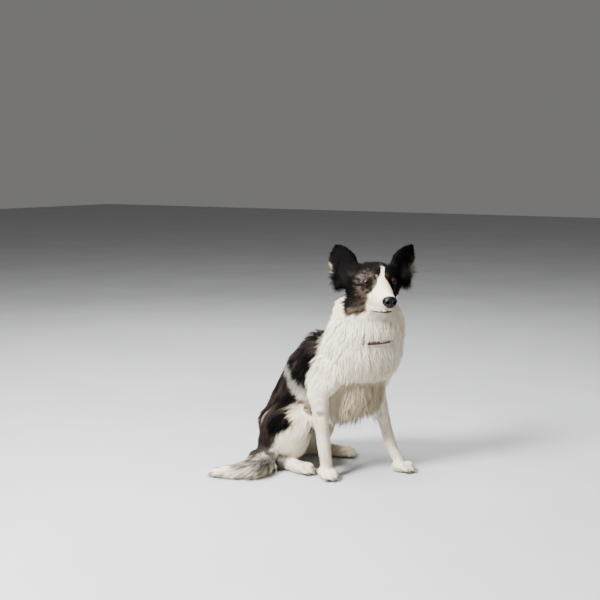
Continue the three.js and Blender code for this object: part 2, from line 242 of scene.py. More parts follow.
@dataclass(frozen=True)
class Finish:
    """A material that is built from nodes: subclasses add what feeds its colour and bump."""

    name: str
    roughness: float = 0.6
    specular: float = 0.4
    coat: float = 0.0

    def make(self) -> bpy.types.Material:
        """The finish as a Blender material."""
        material = bpy.data.materials.new(self.name)
        material.use_nodes = True
        tree = material.node_tree
        shader = tree.nodes["Principled BSDF"]
        shader.inputs["Roughness"].default_value = self.roughness
        shader.inputs["Specular IOR Level"].default_value = self.specular
        shader.inputs["Coat Weight"].default_value = self.coat
        shader.inputs["Coat Roughness"].default_value = 0.04
        self.dress(tree, shader)
        return material

    def dress(self, tree: bpy.types.NodeTree, shader: bpy.types.Node) -> None:
        """Adds the nodes of this finish."""

    @staticmethod
    def node(tree: bpy.types.NodeTree, kind: str, **settings: object) -> bpy.types.Node:
        """A new node, with its inputs (by name) and its own settings set."""
        made = tree.nodes.new(kind)
        for key, value in settings.items():
            if key in made.inputs:
                made.inputs[key].default_value = value
            else:
                setattr(made, key, value)
        return made

    def bump(self, tree: bpy.types.NodeTree, shader: bpy.types.Node, height: bpy.types.NodeSocket,
             strength: float, distance: float) -> None:
        """Turns a height into bumps on the shader's surface."""
        made = self.node(tree, "ShaderNodeBump", Strength=strength, Distance=distance)
        tree.links.new(height, made.inputs["Height"])
        tree.links.new(made.outputs["Normal"], shader.inputs["Normal"])

    def ramp(self, tree: bpy.types.NodeTree, source: bpy.types.NodeSocket,
             stops: tuple[tuple[float, np.ndarray], ...]) -> bpy.types.NodeSocket:
        """Colours by a value: each stop is a place from 0 to 1 and a linear colour."""
        made = self.node(tree, "ShaderNodeValToRGB")
        band = made.color_ramp.elements
        while len(band) < len(stops):
            band.new(0.5)
        for element, (at, colour) in zip(band, stops):
            element.position = at
            element.color = (*colour, 1)
        tree.links.new(source, made.inputs["Fac"])
        return made.outputs["Color"]

    def shade(self, tree: bpy.types.NodeTree, shader: bpy.types.Node, base: bpy.types.NodeSocket,
              source: bpy.types.NodeSocket, stops: tuple[tuple[float, float], ...], share: float) -> None:
        """Gives the shader its colour: the base, darkened by a value.

        Args:
            tree: The material's nodes.
            shader: The node that takes the colour.
            base: Where the base colour comes from.
            source: Where the value comes from.
            stops: Each a value and how bright the base is left there, from 0 to 1.
            share: How much of the darkening counts.
        """
        mix = self.node(tree, "ShaderNodeMix", data_type="RGBA", blend_type="MULTIPLY")
        mix.inputs["Factor"].default_value = share
        greys = self.ramp(tree, source, tuple((at, np.full(3, grey)) for at, grey in stops))
        tree.links.new(base, mix.inputs["A"])
        tree.links.new(greys, mix.inputs["B"])
        tree.links.new(mix.outputs["Result"], shader.inputs["Base Color"])

    def spread(self, tree: bpy.types.NodeTree, source: bpy.types.NodeSocket, scale: tuple[float, float],
               **settings: float) -> bpy.types.NodeSocket:
        """Noise over a map that is scaled by two numbers, as a value."""
        scaled = self.node(tree, "ShaderNodeMapping")
        scaled.inputs["Scale"].default_value = (*scale, 1)
        made = self.node(tree, "ShaderNodeTexNoise", Scale=1.0, **settings)
        tree.links.new(source, scaled.inputs["Vector"])
        tree.links.new(scaled.outputs["Vector"], made.inputs["Vector"])
        return made.outputs["Fac"]


@dataclass(frozen=True)
class CoatFinish(Finish):
    """Hair: the markings' colour, streaked along each lock, with fine fibres raised along it."""

    streaks: float = 0.3
    fibres: float = 26.0
    along: float = 1.6

    def dress(self, tree: bpy.types.NodeTree, shader: bpy.types.Node) -> None:
        """Adds the streaks and the fibres."""
        colour = self.node(tree, "ShaderNodeVertexColor", layer_name=COLOUR)
        strand = self.node(tree, "ShaderNodeUVMap", uv_map=STRAND)
        streak = self.spread(tree, strand.outputs["UV"], (self.fibres, self.along), Detail=3.0, Roughness=0.6)
        self.shade(tree, shader, colour.outputs["Color"], streak, ((0.3, 0.35), (0.65, 1.0)), self.streaks)
        self.bump(tree, shader, streak, 0.35, 0.0006)


@dataclass(frozen=True)
class SkinFinish(Finish):
    """The underlayer: the same markings, broken by short nap that is raised as bumps."""

    nap: float = 420.0

    def dress(self, tree: bpy.types.NodeTree, shader: bpy.types.Node) -> None:
        """Adds the nap."""
        colour = self.node(tree, "ShaderNodeVertexColor", layer_name=COLOUR)
        at = self.node(tree, "ShaderNodeTexCoord")
        fine = self.node(tree, "ShaderNodeTexNoise", Scale=self.nap, Detail=4.0, Roughness=0.65)
        tree.links.new(at.outputs["Object"], fine.inputs["Vector"])
        self.shade(tree, shader, colour.outputs["Color"], fine.outputs["Fac"], ((0.25, 0.5), (0.6, 1.0)), 0.5)
        self.bump(tree, shader, fine.outputs["Fac"], 0.6, 0.001)


@dataclass(frozen=True)
class MottledFinish(Finish):
    """A surface of two close colours with a grain: nose leather, lips, claws, strap or floor."""

    dark: tuple[int, int, int] = (20, 18, 19)
    light: tuple[int, int, int] = (48, 44, 45)
    patches: float = 60.0
    grain: float = 900.0
    depth: float = 0.0005
    cells: bool = False

    def dress(self, tree: bpy.types.NodeTree, shader: bpy.types.Node) -> None:
        """Adds the patches of colour and the grain."""
        at = self.node(tree, "ShaderNodeTexCoord")
        wide = self.node(tree, "ShaderNodeTexNoise", Scale=self.patches, Detail=4.0, Roughness=0.6)
        tree.links.new(at.outputs["Object"], wide.inputs["Vector"])
        shade = self.ramp(tree, wide.outputs["Fac"], ((0.3, tone(*self.dark)), (0.7, tone(*self.light))))
        tree.links.new(shade, shader.inputs["Base Color"])
        kind = "ShaderNodeTexVoronoi" if self.cells else "ShaderNodeTexNoise"
        fine = self.node(tree, kind, Scale=self.grain)
        tree.links.new(at.outputs["Object"], fine.inputs["Vector"])
        self.bump(tree, shader, fine.outputs["Distance" if self.cells else "Fac"], 0.6, self.depth)


@dataclass(frozen=True)
class EyeFinish(Finish):
    """An eye under its wet film. The strand map runs round the gaze (U) and away from it (V)."""

    pupil: float = 0.095
    iris: float = 0.26
    rays: tuple[float, float] = (60, 6)

    def dress(self, tree: bpy.types.NodeTree, shader: bpy.types.Node) -> None:
        """Adds pupil, rayed iris, dark rim and the white."""
        strand = self.node(tree, "ShaderNodeUVMap", uv_map=STRAND)
        split = self.node(tree, "ShaderNodeSeparateXYZ")
        tree.links.new(strand.outputs["UV"], split.inputs["Vector"])
        flecks = self.spread(tree, strand.outputs["UV"], self.rays, Detail=3.0)
        black, brown, amber = tone(2, 2, 2), tone(26, 12, 8), tone(52, 25, 17)
        rim, white = tone(8, 4, 3), tone(52, 45, 43)
        base = self.ramp(tree, split.outputs["Y"], (
            (self.pupil, black), (self.pupil + 0.012, brown), (self.iris - 0.05, amber),
            (self.iris, rim), (self.iris + 0.03, white)))
        self.shade(tree, shader, base, flecks, ((0.3, 0.4), (0.7, 1.0)), 0.6)


# ---------------------------------------------------------------- the head's axes


@dataclass
class HeadAxes:
    """The head's own axes. The eyes stand ahead of the origin and above it."""

    eyes_ahead: float = 0.036
    eyes_up: float = 0.017
    aside: np.ndarray = field(init=False)
    ahead: np.ndarray = field(init=False)
    origin: np.ndarray = field(init=False)

    def __post_init__(self) -> None:
        """Finds the axes from the two eyes."""
        right, left = centre_of("eye_right"), centre_of("eye_left")
        self.aside = unit(left - right)
        self.ahead = unit(np.cross(self.aside, UP))
        self.origin = (left + right) / 2 - self.ahead * self.eyes_ahead - UP * self.eyes_up

    def local(self, points: np.ndarray) -> np.ndarray:
        """Points as ahead, aside and up, in millimetres."""
        return (points - self.origin) @ np.array((self.ahead, self.aside, UP)).T / MM

    def world(self, ahead: float, aside: float, up: float) -> np.ndarray:
        """A place in the frame's axes, from millimetres in the head's."""
        return self.origin + (self.ahead * ahead + self.aside * aside + UP * up) * MM


# ---------------------------------------------------------------- markings


class Tone(Enum):
    """The coat's colours."""

    WHITE = (244, 232, 208)
    CREAM = (226, 203, 164)
    # The under tone is a creamier hair colour with painted shade mixed in, for the breast under the ruff's
    # overhang.
    UNDER_CREAM_AND_SHADE = (170, 154, 126)
    SHADED = (150, 144, 134)
    BLACK = (8, 6, 6)
    BROWN = (44, 36, 32)
    TAN = (80, 66, 54)
    RUST = (66, 47, 36)
    SILVER = (86, 80, 72)
    SLATE = (42, 38, 38)
    SMOKE = (72, 65, 58)
    PINK = (206, 160, 148)

    def linear(self) -> np.ndarray:
        """The colour as linear light."""
        return tone(*self.value)

    def over(self, made: np.ndarray, share: np.ndarray) -> np.ndarray:
        """Colours with this one laid over them, by a share for each point."""
        return blend(made, self.linear(), share)


@dataclass(frozen=True)
class Spot:
    """A soft-edged marking: its middle and its half sizes in millimetres, and its colour."""

    at: tuple[float, float, float]
    size: tuple[float, float, float]
    tone: Tone
    strength: float = 1.0

    def over(self, made: np.ndarray, at: np.ndarray, rough: np.ndarray, inner: float,
             outer: float) -> np.ndarray:
        """Colours with this spot laid over them.

        Args:
            made: The colours, one for each point.
            at: The points.
            rough: What is added to each point's distance, which frays the edge.
            inner: Where the spot is full, as a share of its half sizes.
            outer: Where it ends.

        Returns:
            The new colours.
        """
        far = np.linalg.norm((at - np.array(self.at)) / np.array(self.size), axis=1)
        return self.tone.over(made, smoothstep(outer, inner, far + rough) * self.strength)


@dataclass
class Markings:
    """Where each colour lies.

    Flat outlines are backward (Y) and up (Z) along the flank. The blaze's edges are heights on the head and
    how far aside the edge lies there. The hood's floors are places ahead (right) or aside (left) and how low
    the hood comes there. Spots are placed in the head's axes, flecks in the frame's. All are in millimetres,
    and flank_lie stretches the streaks' noise along the flank's hair.
    """

    head: HeadAxes
    saddle: tuple = ((10, 430), (4, 392), (-4, 367), (-4, 341), (10, 310), (25, 293), (28, 274), (34, 251),
                     (34, 236), (46, 214), (54, 196), (70, 199), (92, 191), (105, 181), (124, 169),
                     (156, 162), (185, 158), (300, 150), (300, 430))
    stripe: tuple = ((34, 238), (58, 250), (74, 261), (89, 284), (114, 310), (127, 288), (104, 262),
                     (94, 238), (84, 222), (68, 210), (48, 192))
    haunch_patch: tuple = ((156, 128), (123, 163), (80, 182), (47, 150), (84, 121), (122, 103), (156, 98))
    rump: tuple = ((62, 194), (105, 188), (156, 172), (300, 160), (300, -9), (166, -9), (158, 52), (132, 74),
                   (122, 92), (110, 112), (118, 150), (76, 172))
    light_streak: tuple = ((190, 134), (182, 150), (171, 163), (163, 164), (172, 148), (182, 133))
    blaze_right: tuple = ((-66, -29, -15, 2, 15, 26, 38, 46, 53, 60),
                          (-34, -34, -34, -25, -16, -12, -1, 6, 9, 15))
    blaze_left: tuple = ((-60, -15, 4, 18, 32, 46, 53, 60), (34, 34, 23, 14, 10, 16, 21, 15))
    right_floor: tuple = ((-60, -20, 0, 8, 19, 36), (-20, -34, -52, -62, -74, -71))
    left_floor: tuple = ((40, 60, 80), (-52, -26, -14))
    muzzle_from: float = 53
    snout_at: tuple[float, float, float] = (104, -5, -52)
    snout_size: tuple[float, float, float] = (18, 22, 10)
    flank_lie: tuple = ((1, 0, 0), (0, 0.84, 0.52), (0, -0.13, 0.21))
    spots: tuple[Spot, ...] = (
        Spot((24, 2, 62), (16, 15, 8), Tone.SMOKE, 0.3),
        Spot((30, -40, 14), (22, 34, 40), Tone.SMOKE, 0.8),
        Spot((24, -54, 30), (14, 10, 13), Tone.SILVER, 0.45),
        Spot((38, -30, 42), (12, 11, 9), Tone.TAN),
        Spot((50, -12, 34), (9, 4, 13), Tone.SILVER),
        Spot((56, -22, 14), (10, 7, 28), Tone.TAN),
        Spot((28, -54, -2), (14, 12, 14), Tone.SILVER, 0.55),
        Spot((44, -40, -14), (12, 12, 10), Tone.SILVER, 0.8),
        Spot((22, -50, -34), (30, 28, 30), Tone.TAN, 0.95),
        Spot((40, -38, -44), (9, 14, 20), Tone.RUST, 0.8),
        Spot((18, -58, -37), (20, 16, 18), Tone.BROWN),
        Spot((2, -72, -30), (12, 16, 26), Tone.BLACK, 0.9),
        Spot((10, -82, -52), (16, 16, 14), Tone.BLACK, 0.85),
        Spot((16, -76, -60), (14, 10, 8), Tone.SILVER, 0.8),
        Spot((26, -64, -68), (26, 30, 5), Tone.RUST),
        Spot((46, -39, 18), (17, 17, 15), Tone.BLACK),
        Spot((22, -58, 10), (18, 14, 3.5), Tone.BLACK),
        Spot((28, -46, 42), (12, 16, 3.0), Tone.BLACK, 0.9),
        Spot((18, -60, 26), (7, 10, 3.0), Tone.BLACK, 0.9),
        Spot((47, -20, 38), (4, 3.4, 14), Tone.BLACK, 0.95),
        Spot((55, -15, 30), (4, 3, 12), Tone.BLACK, 0.9),
        Spot((35, -50, 1), (9, 8, 11), Tone.BLACK),
        Spot((45, -42, -11), (8, 7, 6), Tone.BLACK),
        Spot((22, -60, -9), (6, 6, 4), Tone.BLACK, 0.9),
        Spot((38, -46, -22), (5, 5, 4), Tone.BLACK, 0.8),
        Spot((46, 20, 40), (12, 5, 14), Tone.TAN, 0.6),
        Spot((40, 44, -2), (16, 14, 16), Tone.SLATE, 0.8),
        Spot((46, 37, 18), (18, 17, 16), Tone.BLACK),
        Spot((-40, -118, 50), (18, 6, 26), Tone.CREAM, 0.6),
        Spot((-34, 124, 42), (22, 15, 28), Tone.SILVER, 0.7),
        Spot((-36, 130, 44), (20, 9, 24), Tone.CREAM, 0.75),
    )
    flecks: tuple[Spot, ...] = (
        Spot((-58, -26, 186), (14, 12, 8), Tone.SMOKE, 0.75),
        Spot((110, -125, 160), (5, 6, 12), Tone.SLATE, 0.7),
        Spot((115, -135, 109), (5, 5, 6), Tone.BROWN, 0.8),
        Spot((112, -140, 52), (6, 7, 14), Tone.TAN, 0.6),
        Spot((148, 17, 23), (9, 9, 5), Tone.PINK, 0.9),
        Spot((151, 8, 14), (8, 8, 6), Tone.PINK, 0.8),
        Spot((-28, 13, 24), (9, 8, 5), Tone.PINK, 0.9),
        Spot((-44, 9, 20), (8, 8, 5), Tone.PINK, 0.8),
    )

    def colours(self, points: np.ndarray) -> np.ndarray:
        """The coat's colour at each point, in linear light. Each noise has a seed of its own."""
        fine = noise(points, 0.007, 3)
        wide = noise(points, 0.03, 4)
        streaks = noise(points * (1, 1, 0.35), 0.011, 2)
        cream = smoothstep(0.0, 1.0, wide * 0.7 + streaks * 0.6) * 0.8
        made = Tone.CREAM.over(Tone.WHITE.linear(), cream)
        x, y, z = points.T / MM
        between_legs = smoothstep(-38, -12, x) * smoothstep(102, 78, x)
        # Painted shade: the breast between the forelegs, below the ruff's hem, is made darker and creamier.
        under = between_legs * smoothstep(284, 266, z) * smoothstep(-25, -50, y)
        made = Tone.UNDER_CREAM_AND_SHADE.over(made, under * 0.9)
        made = self.flank(points, made, wide, fine)
        for spot in self.flecks:
            made = spot.over(made, points / MM, fine * 0.4, inner=0.5, outer=1.3)
        return self.face(points, made, wide, fine)

    def flank(self, points: np.ndarray, made: np.ndarray, wide: np.ndarray, fine: np.ndarray) -> np.ndarray:
        """Lays the rump, the saddle, the stripe and the haunch patch over the white."""
        warp = np.c_[noise(points, 0.022, 5), noise(points, 0.022, 6)] * 5 + fine[:, None] * 3
        flat = points[:, 1:] / MM + warp
        streaks = noise(points @ np.array(self.flank_lie).T, 0.011, 7)
        x, _, z = points.T / MM
        merle = Tone.BROWN.over(Tone.BLACK.linear(), smoothstep(-0.35, 0.8, streaks + wide * 0.5))
        merle = Tone.SMOKE.over(merle, smoothstep(0.2, 1.0, streaks * 0.6 + fine * 0.7 - wide * 0.3) * 0.5)
        patch = Tone.SLATE.over(Tone.BLACK.linear(), smoothstep(0.1, 0.9, streaks) * 0.7)
        stripe = Tone.WHITE.over(Tone.SHADED.linear(), smoothstep(242, 208, z))
        plume = Tone.SHADED.over(Tone.SMOKE.linear(), smoothstep(-0.4, 1.0, streaks + fine * 0.4))
        shadow = smoothstep(-110, -80, x + wide * 20) * smoothstep(125, 150, flat[:, 0])
        plume = Tone.SLATE.over(plume, shadow * 0.9)
        on_tail = smoothstep(58, 46, z) * smoothstep(60, 30, x)
        upper = np.maximum(smoothstep(8, 28, z), smoothstep(-95, -70, x))
        reach = smoothstep(-190, -155, x + wide * 14) * smoothstep(85, 105, flat[:, 0]) * upper
        rump = Tone.SMOKE.over(Tone.BROWN.linear(), smoothstep(0.1, 1.1, streaks) * 0.8)
        rump = Tone.BLACK.over(rump, smoothstep(0.0, 0.7, wide) * 0.7)
        rump = blend(rump, plume, on_tail)
        made = blend(made, plume, on_tail * reach)
        below_neck = smoothstep(455, 415, z)
        for outline, colour, edge, inset in (
            (self.rump, rump, 9.0, 0),
            (self.saddle, merle, 3.0, 0),
            (self.stripe, stripe, 2.5, 2.5),
            (self.light_streak, Tone.SHADED.linear(), 3.0, 1.0),
            (self.haunch_patch, patch, 3.0, 0),
        ):
            depth = outline_distance(flat, np.array(outline, float)) - inset
            inside = smoothstep(-edge, edge, depth)
            made = blend(made, colour, inside * below_neck * (1 - on_tail * (1 - reach)))
        return made

    def hood_floor(self, at: np.ndarray) -> np.ndarray:
        """How low the dark hood comes, in the head's axes, at places given in those axes."""
        right = np.interp(at[:, 0], *self.right_floor)
        left = np.interp(at[:, 1], *self.left_floor)
        return np.where(at[:, 1] > 20, left, right)

    def face(self, points: np.ndarray, made: np.ndarray, wide: np.ndarray, fine: np.ndarray) -> np.ndarray:
        """Lays the dark hood, its merle spots and the blaze over the head."""
        warp = np.c_[noise(points, 0.012, 8), noise(points, 0.012, 9), noise(points, 0.012, 10)] * 2.5
        at = self.head.local(points) + warp
        ahead, aside, up = at.T
        hood = smoothstep(-4, 4, up - self.hood_floor(at) + fine * 4)
        right_edge = np.interp(up, *self.blaze_right)
        left_edge = np.interp(up, *self.blaze_left)
        across = np.minimum(aside - right_edge, left_edge - aside)
        blaze = smoothstep(-1.5, 1.5, across + fine) * smoothstep(0, 8, ahead) * (up < 62)
        muzzle = smoothstep(-3, 3, ahead - self.muzzle_from + np.abs(up + 20) * 0.1) * smoothstep(-8, -14, up)
        hood = hood * (1 - np.maximum(blaze * smoothstep(60, 47, up + fine * 5), muzzle))
        dark = Tone.BROWN.over(Tone.BLACK.linear(), smoothstep(0.2, 1.0, wide + fine * 0.3) * 0.45)
        frayed = fine * 0.3 + noise(points, 0.004, 11) * 0.25
        for spot in self.spots:
            dark = spot.over(dark, at, frayed, inner=0.6, outer=1.35)
        dark = Tone.BLACK.over(dark, smoothstep(0.1, 0.6, noise(points, 0.0045, 12)) * 0.85)
        made = blend(made, dark, hood)
        lip = np.abs(up - np.interp(ahead, *np.array(LIPS).T[[0, 2]]))
        made = Tone.SLATE.over(made, smoothstep(2.6, 0.8, lip) * smoothstep(32, 46, ahead) * 0.8)
        snout = np.linalg.norm((at - np.array(self.snout_at)) / np.array(self.snout_size), axis=1)
        speckle = smoothstep(1.3, 0.6, snout) * smoothstep(-0.4, 0.4, noise(points, 0.004, 13)) * 0.75
        return Tone.SLATE.over(made, speckle)


# ---------------------------------------------------------------- how the coat lies


class Lie(Enum):
    """Which way the hair of a region runs."""

    FACE = "back from the nose"
    EAR_RIGHT = "up the right ear"
    EAR_LEFT = "up the left ear"
    NECK = "down the neck"
    BACK = "down the back"
    BREAST = "down the breast"
    HAUNCH = "down and back over the thigh"
    LEG = "down the leg"
    FOOT = "out to the claws"
    TAIL = "along the tail"


@dataclass(frozen=True)
class Hair:
    """The coat of one region.

    depth is how far the skin lies inside the outline, length and width are one tuft's, evenness is how many
    rounds of smoothing the region's surface gets, and piece is the coat piece that its tufts are joined in.
    """

    piece: str
    lie: Lie
    depth: float
    length: float
    width: float
    evenness: int


HAIR = {
    "head": Hair("coat_head", Lie.FACE, 0.004, 0.012, 0.0017, 5),
    "jaw": Hair("coat_head", Lie.FACE, 0.003, 0.009, 0.0015, 4),
    "cheek": Hair("coat_cheeks", Lie.FACE, 0.006, 0.030, 0.0022, 14),
    "ear_right": Hair("coat_ears", Lie.EAR_RIGHT, 0.0015, 0.018, 0.0012, 3),
    "ear_left": Hair("coat_ears", Lie.EAR_LEFT, 0.0015, 0.018, 0.0012, 3),
    "neck": Hair("coat_ruff", Lie.NECK, 0.011, 0.048, 0.0021, 30),
    "trunk": Hair("coat_back", Lie.BACK, 0.009, 0.036, 0.0022, 30),
    "brisket": Hair("coat_breast", Lie.BREAST, 0.014, 0.064, 0.0024, 24),
    "upper_arm": Hair("coat_shoulders", Lie.LEG, 0.006, 0.026, 0.0022, 22),
    "forearm": Hair("coat_forelegs", Lie.LEG, 0.004, 0.014, 0.0019, 8),
    "front_paw": Hair("coat_forelegs", Lie.FOOT, 0.002, 0.008, 0.0016, 2),
    "thigh": Hair("coat_haunches", Lie.HAUNCH, 0.009, 0.040, 0.0024, 24),
    "shank": Hair("coat_haunches", Lie.LEG, 0.006, 0.024, 0.0022, 12),
    "hind_foot": Hair("coat_hind_feet", Lie.FOOT, 0.003, 0.011, 0.0018, 5),
    "hind_paw": Hair("coat_hind_feet", Lie.FOOT, 0.002, 0.008, 0.0016, 2),
    "tail": Hair("coat_tail", Lie.TAIL, 0.012, 0.058, 0.0024, 18),
}


def hair_of(node: str) -> Hair:
    """The coat of a flesh node, by the longest name in HAIR that starts the node's own."""
    return HAIR[max((key for key in HAIR if node.startswith(key)), key=len)]


@dataclass
class Comb:
    """The way the hair runs at any place. tail_path is the tail's line on the floor, from its root."""

    head: HeadAxes
    tail_path: tuple = ((0.065, 0.221), (0.009, 0.211), (-0.047, 0.167), (-0.097, 0.145), (-0.145, 0.161),
                        (-0.177, 0.201), (-0.205, 0.250))
    tail_reach: float = 0.035
    tail_fall: float = 0.12
    paw_fall: float = 0.35

    def direction(self, lie: Lie, points: np.ndarray) -> np.ndarray:
        """Unit directions of one lie at the points, not yet laid onto the skin."""
        if lie is Lie.FACE:
            nose = centre_of("nose") + self.head.ahead * 0.01
            away = unit(points - nose)
            low = smoothstep(10, -40, self.head.local(points)[:, 2])
            return unit(away - UP * 0.5 * low[:, None])
        if lie in (Lie.EAR_RIGHT, Lie.EAR_LEFT):
            out = self.head.aside * (-1 if lie is Lie.EAR_RIGHT else 1)
            low = smoothstep(48, 22, self.head.local(points)[:, 2])[:, None]
            return unit((UP * 0.9 + out * 0.6 - self.head.ahead * 0.2) * (1 - low)
                        + (out * 0.5 - UP * 0.8 - self.head.ahead * 0.4) * low)
        if lie is Lie.TAIL:
            return self.along_tail(points)
        if lie is Lie.FOOT:
            return self.to_claws(points)
        steady = {
            Lie.NECK: UP * -1 - self.head.ahead * 0.28,
            Lie.BACK: np.array((0.0, 0.55, -0.85)),
            Lie.BREAST: np.array((0.0, 0.12, -1.0)),
            Lie.HAUNCH: np.array((-0.05, 0.5, -0.85)),
            Lie.LEG: np.array((0.0, 0.12, -1.0)),
        }
        return np.ones((len(points), 1)) * unit(steady[lie])

    def along_tail(self, points: np.ndarray) -> np.ndarray:
        """Directions along the nearest stretch of the tail."""
        path = np.array(self.tail_path)
        middles, runs = (path[1:] + path[:-1]) / 2, unit(path[1:] - path[:-1])
        gap = np.linalg.norm(points[:, None, :2] - middles, axis=2)
        share = np.exp(-((gap / self.tail_reach) ** 2)) + 1e-9
        flat = unit((share[:, :, None] * runs).sum(1))
        return unit(np.c_[flat, np.full(len(points), -self.tail_fall)])

    def to_claws(self, points: np.ndarray) -> np.ndarray:
        """Directions from each foot's middle out to its claws, for the nearest foot."""
        feet, runs = [], []
        for end in ("front", "hind"):
            for side in SIDES:
                claws = np.mean([centre_of(f"{end}_claw_{side}_{n}") for n in range(1, 5)], axis=0)
                paw = centre_of(f"{end}_paw_{side}")
                feet.append(paw)
                runs.append(unit((claws - paw) * (1, 1, 0)))
        nearest = np.argmin(np.linalg.norm(points[:, None] - np.array(feet), axis=2), axis=1)
        return unit(np.array(runs)[nearest] - UP * self.paw_fall)


# ---------------------------------------------------------------- skin


@dataclass
class Skin:
    """One closed skin under the whole coat, inside every flesh node by the depth of its hair.

    voxel is the size of the surface's cells. spread and blending are how many rounds of smoothing the hair's
    depth and the surface's evenness get, so that they change gently from one region to the next.
    """

    head: HeadAxes
    markings: Markings
    comb: Comb
    voxel: float = 0.0034
    inset_steps: int = 6
    spread: int = 14
    blending: int = 6
    floor_gap: float = 0.0012
    # Painted shade: shade darkens the skin's colours, as the shade that falls under the coat.
    shade: float = 0.88
    nodes: list[str] = field(init=False)
    regions: list[str] = field(init=False)
    points: np.ndarray = field(init=False)
    triangles: np.ndarray = field(init=False)

    def __post_init__(self) -> None:
        """Names the flesh nodes, finds their surface and makes the skin's shape."""
        self.nodes = [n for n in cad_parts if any(map(n.startswith, HAIR)) and "claw" not in n]
        self.regions = [*self.nodes, "cheek"]
        self.gather()
        self.shape()

    def gather(self) -> None:
        """Joins the flesh nodes and the eyeballs into one set of faces, and keeps whose each face is."""
        points, faces, owner = [], [], []
        for name in self.nodes + [f"eye_{side}" for side in SIDES]:
            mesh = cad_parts[name].data
            base = sum(map(len, points))
            points.append(np.array([v.co for v in mesh.vertices]).reshape(-1, 3))
            mesh.calc_loop_triangles()
            here = [[base + i for i in t.vertices] for t in mesh.loop_triangles]
            faces += here
            region = name if name in self.nodes else "head"
            owner += [self.nodes.index(region)] * len(here)
        self.flesh_points = np.concatenate(points)
        self.flesh_faces = faces
        self.owner = np.array(owner)
        self.flesh = surface_tree(self.flesh_points, faces)

    def remesh(self, points: np.ndarray, faces: list) -> None:
        """Wraps points and faces in one even closed surface, and keeps its largest part."""
        wrapped = link("wrap", mesh_of("wrap", points, faces))
        wrap = wrapped.modifiers.new("wrap", "REMESH")
        wrap.mode, wrap.voxel_size = "VOXEL", self.voxel
        made = wrapped.evaluated_get(bpy.context.evaluated_depsgraph_get()).to_mesh()
        self.points = np.array([v.co for v in made.vertices]).reshape(-1, 3)
        made.calc_loop_triangles()
        self.triangles = np.array([t.vertices for t in made.loop_triangles])
        bpy.data.objects.remove(wrapped)
        self.keep_largest()

    def edges(self) -> np.ndarray:
        """Every edge of the triangles, both ways round."""
        t = self.triangles
        pairs = np.concatenate((t[:, (0, 1)], t[:, (1, 2)], t[:, (2, 0)]))
        return np.unique(np.concatenate((pairs, pairs[:, ::-1])), axis=0)

    def keep_largest(self) -> None:
        """Drops loose scraps, by spreading the lowest vertex number over each part."""
        links = self.edges()
        label = np.arange(len(self.points))
        while True:
            spread = label.copy()
            np.minimum.at(spread, links[:, 0], label[links[:, 1]])
            spread = spread[spread]
            if (spread == label).all():
                break
            label = spread
        keep = label == np.bincount(label).argmax()
        number = np.cumsum(keep) - 1
        self.triangles = number[self.triangles[keep[self.triangles[:, 0]]]]
        self.points = self.points[keep]
        self.links = self.edges()
        self.degree = np.bincount(self.links[:, 0], minlength=len(self.points))[:, None]

    def smooth(self, values: np.ndarray, rounds: int, share: np.ndarray | float = 0.5) -> np.ndarray:
        """Values moved towards their neighbours' mean, some rounds over."""
        a, b = self.links.T
        for _ in range(rounds):
            mean = np.stack([np.bincount(a, values[b, k], len(values)) for k in range(values.shape[1])], 1)
            values = values + (mean / self.degree - values) * share
        return values

    def normals(self) -> np.ndarray:
        """Unit outward directions at the vertices."""
        p = self.points[self.triangles]
        face = np.cross(p[:, 1] - p[:, 0], p[:, 2] - p[:, 0])
        total = np.zeros_like(self.points)
        for corner in range(3):
            for axis in range(3):
                total[:, axis] += np.bincount(self.triangles[:, corner], face[:, axis], len(total))
        return unit(total)

    def owners(self) -> np.ndarray:
        """The region of each vertex: its nearest flesh node, or the cheek where the hood covers the neck."""
        found = self.owner[[self.flesh.find_nearest(Vector(p))[2] for p in self.points]]
        at = self.head.local(self.points)
        under_hood = (found == self.nodes.index("neck")) & (at[:, 2] > self.markings.hood_floor(at))
        return np.where(under_hood, self.regions.index("cheek"), found)

    def by_region(self, read: str) -> np.ndarray:
        """One number of Hair for each vertex."""
        values = np.array([getattr(hair_of(n), read) for n in self.regions], float)
        return values[self.owners_now][:, None]

    def shape(self) -> None:
        """Wraps the flesh, evens it, draws it in by the coat's depth and wraps it again."""
        self.remesh(self.flesh_points, self.flesh_faces)
        self.owners_now = self.owners()
        evenness = self.smooth(self.by_region("evenness"), self.blending)
        for turn in range(int(evenness.max())):
            self.points = self.smooth(self.points, 1, 0.5 * (evenness > turn))
        depth = self.smooth(self.by_region("depth"), self.spread)
        for _ in range(self.inset_steps):
            inward = self.smooth(self.normals(), 2)
            self.points = self.points - inward * depth / self.inset_steps
            self.points = self.smooth(self.points, 1, 0.3 * smoothstep(0.004, 0.012, depth))
        self.remesh(self.points, self.triangles)
        self.points = self.smooth(self.points, 2)
        self.points[:, 2] = np.maximum(self.points[:, 2], self.floor_gap)
        self.owners_now = self.owners()
        self.surface_normals = self.normals()

    def near(self) -> BVHTree:
        """A tree that finds places on the skin."""
        return surface_tree(self.points, self.triangles.tolist())

    def build(self) -> bpy.types.Object:
        """The skin as a piece, with the markings in its vertices."""
        finish = SkinFinish("skin_nap", roughness=0.85, specular=0.08)
        skin = mesh_object("skin", self.points, self.triangles, finish.make())
        # The markings are darkened here by the skin's shade, as painted shade under the coat.
        vertex_colours(skin.data, self.markings.colours(self.points) * self.shade)
        self.unwrap(skin)
        return place(skin, tuple(self.nodes))

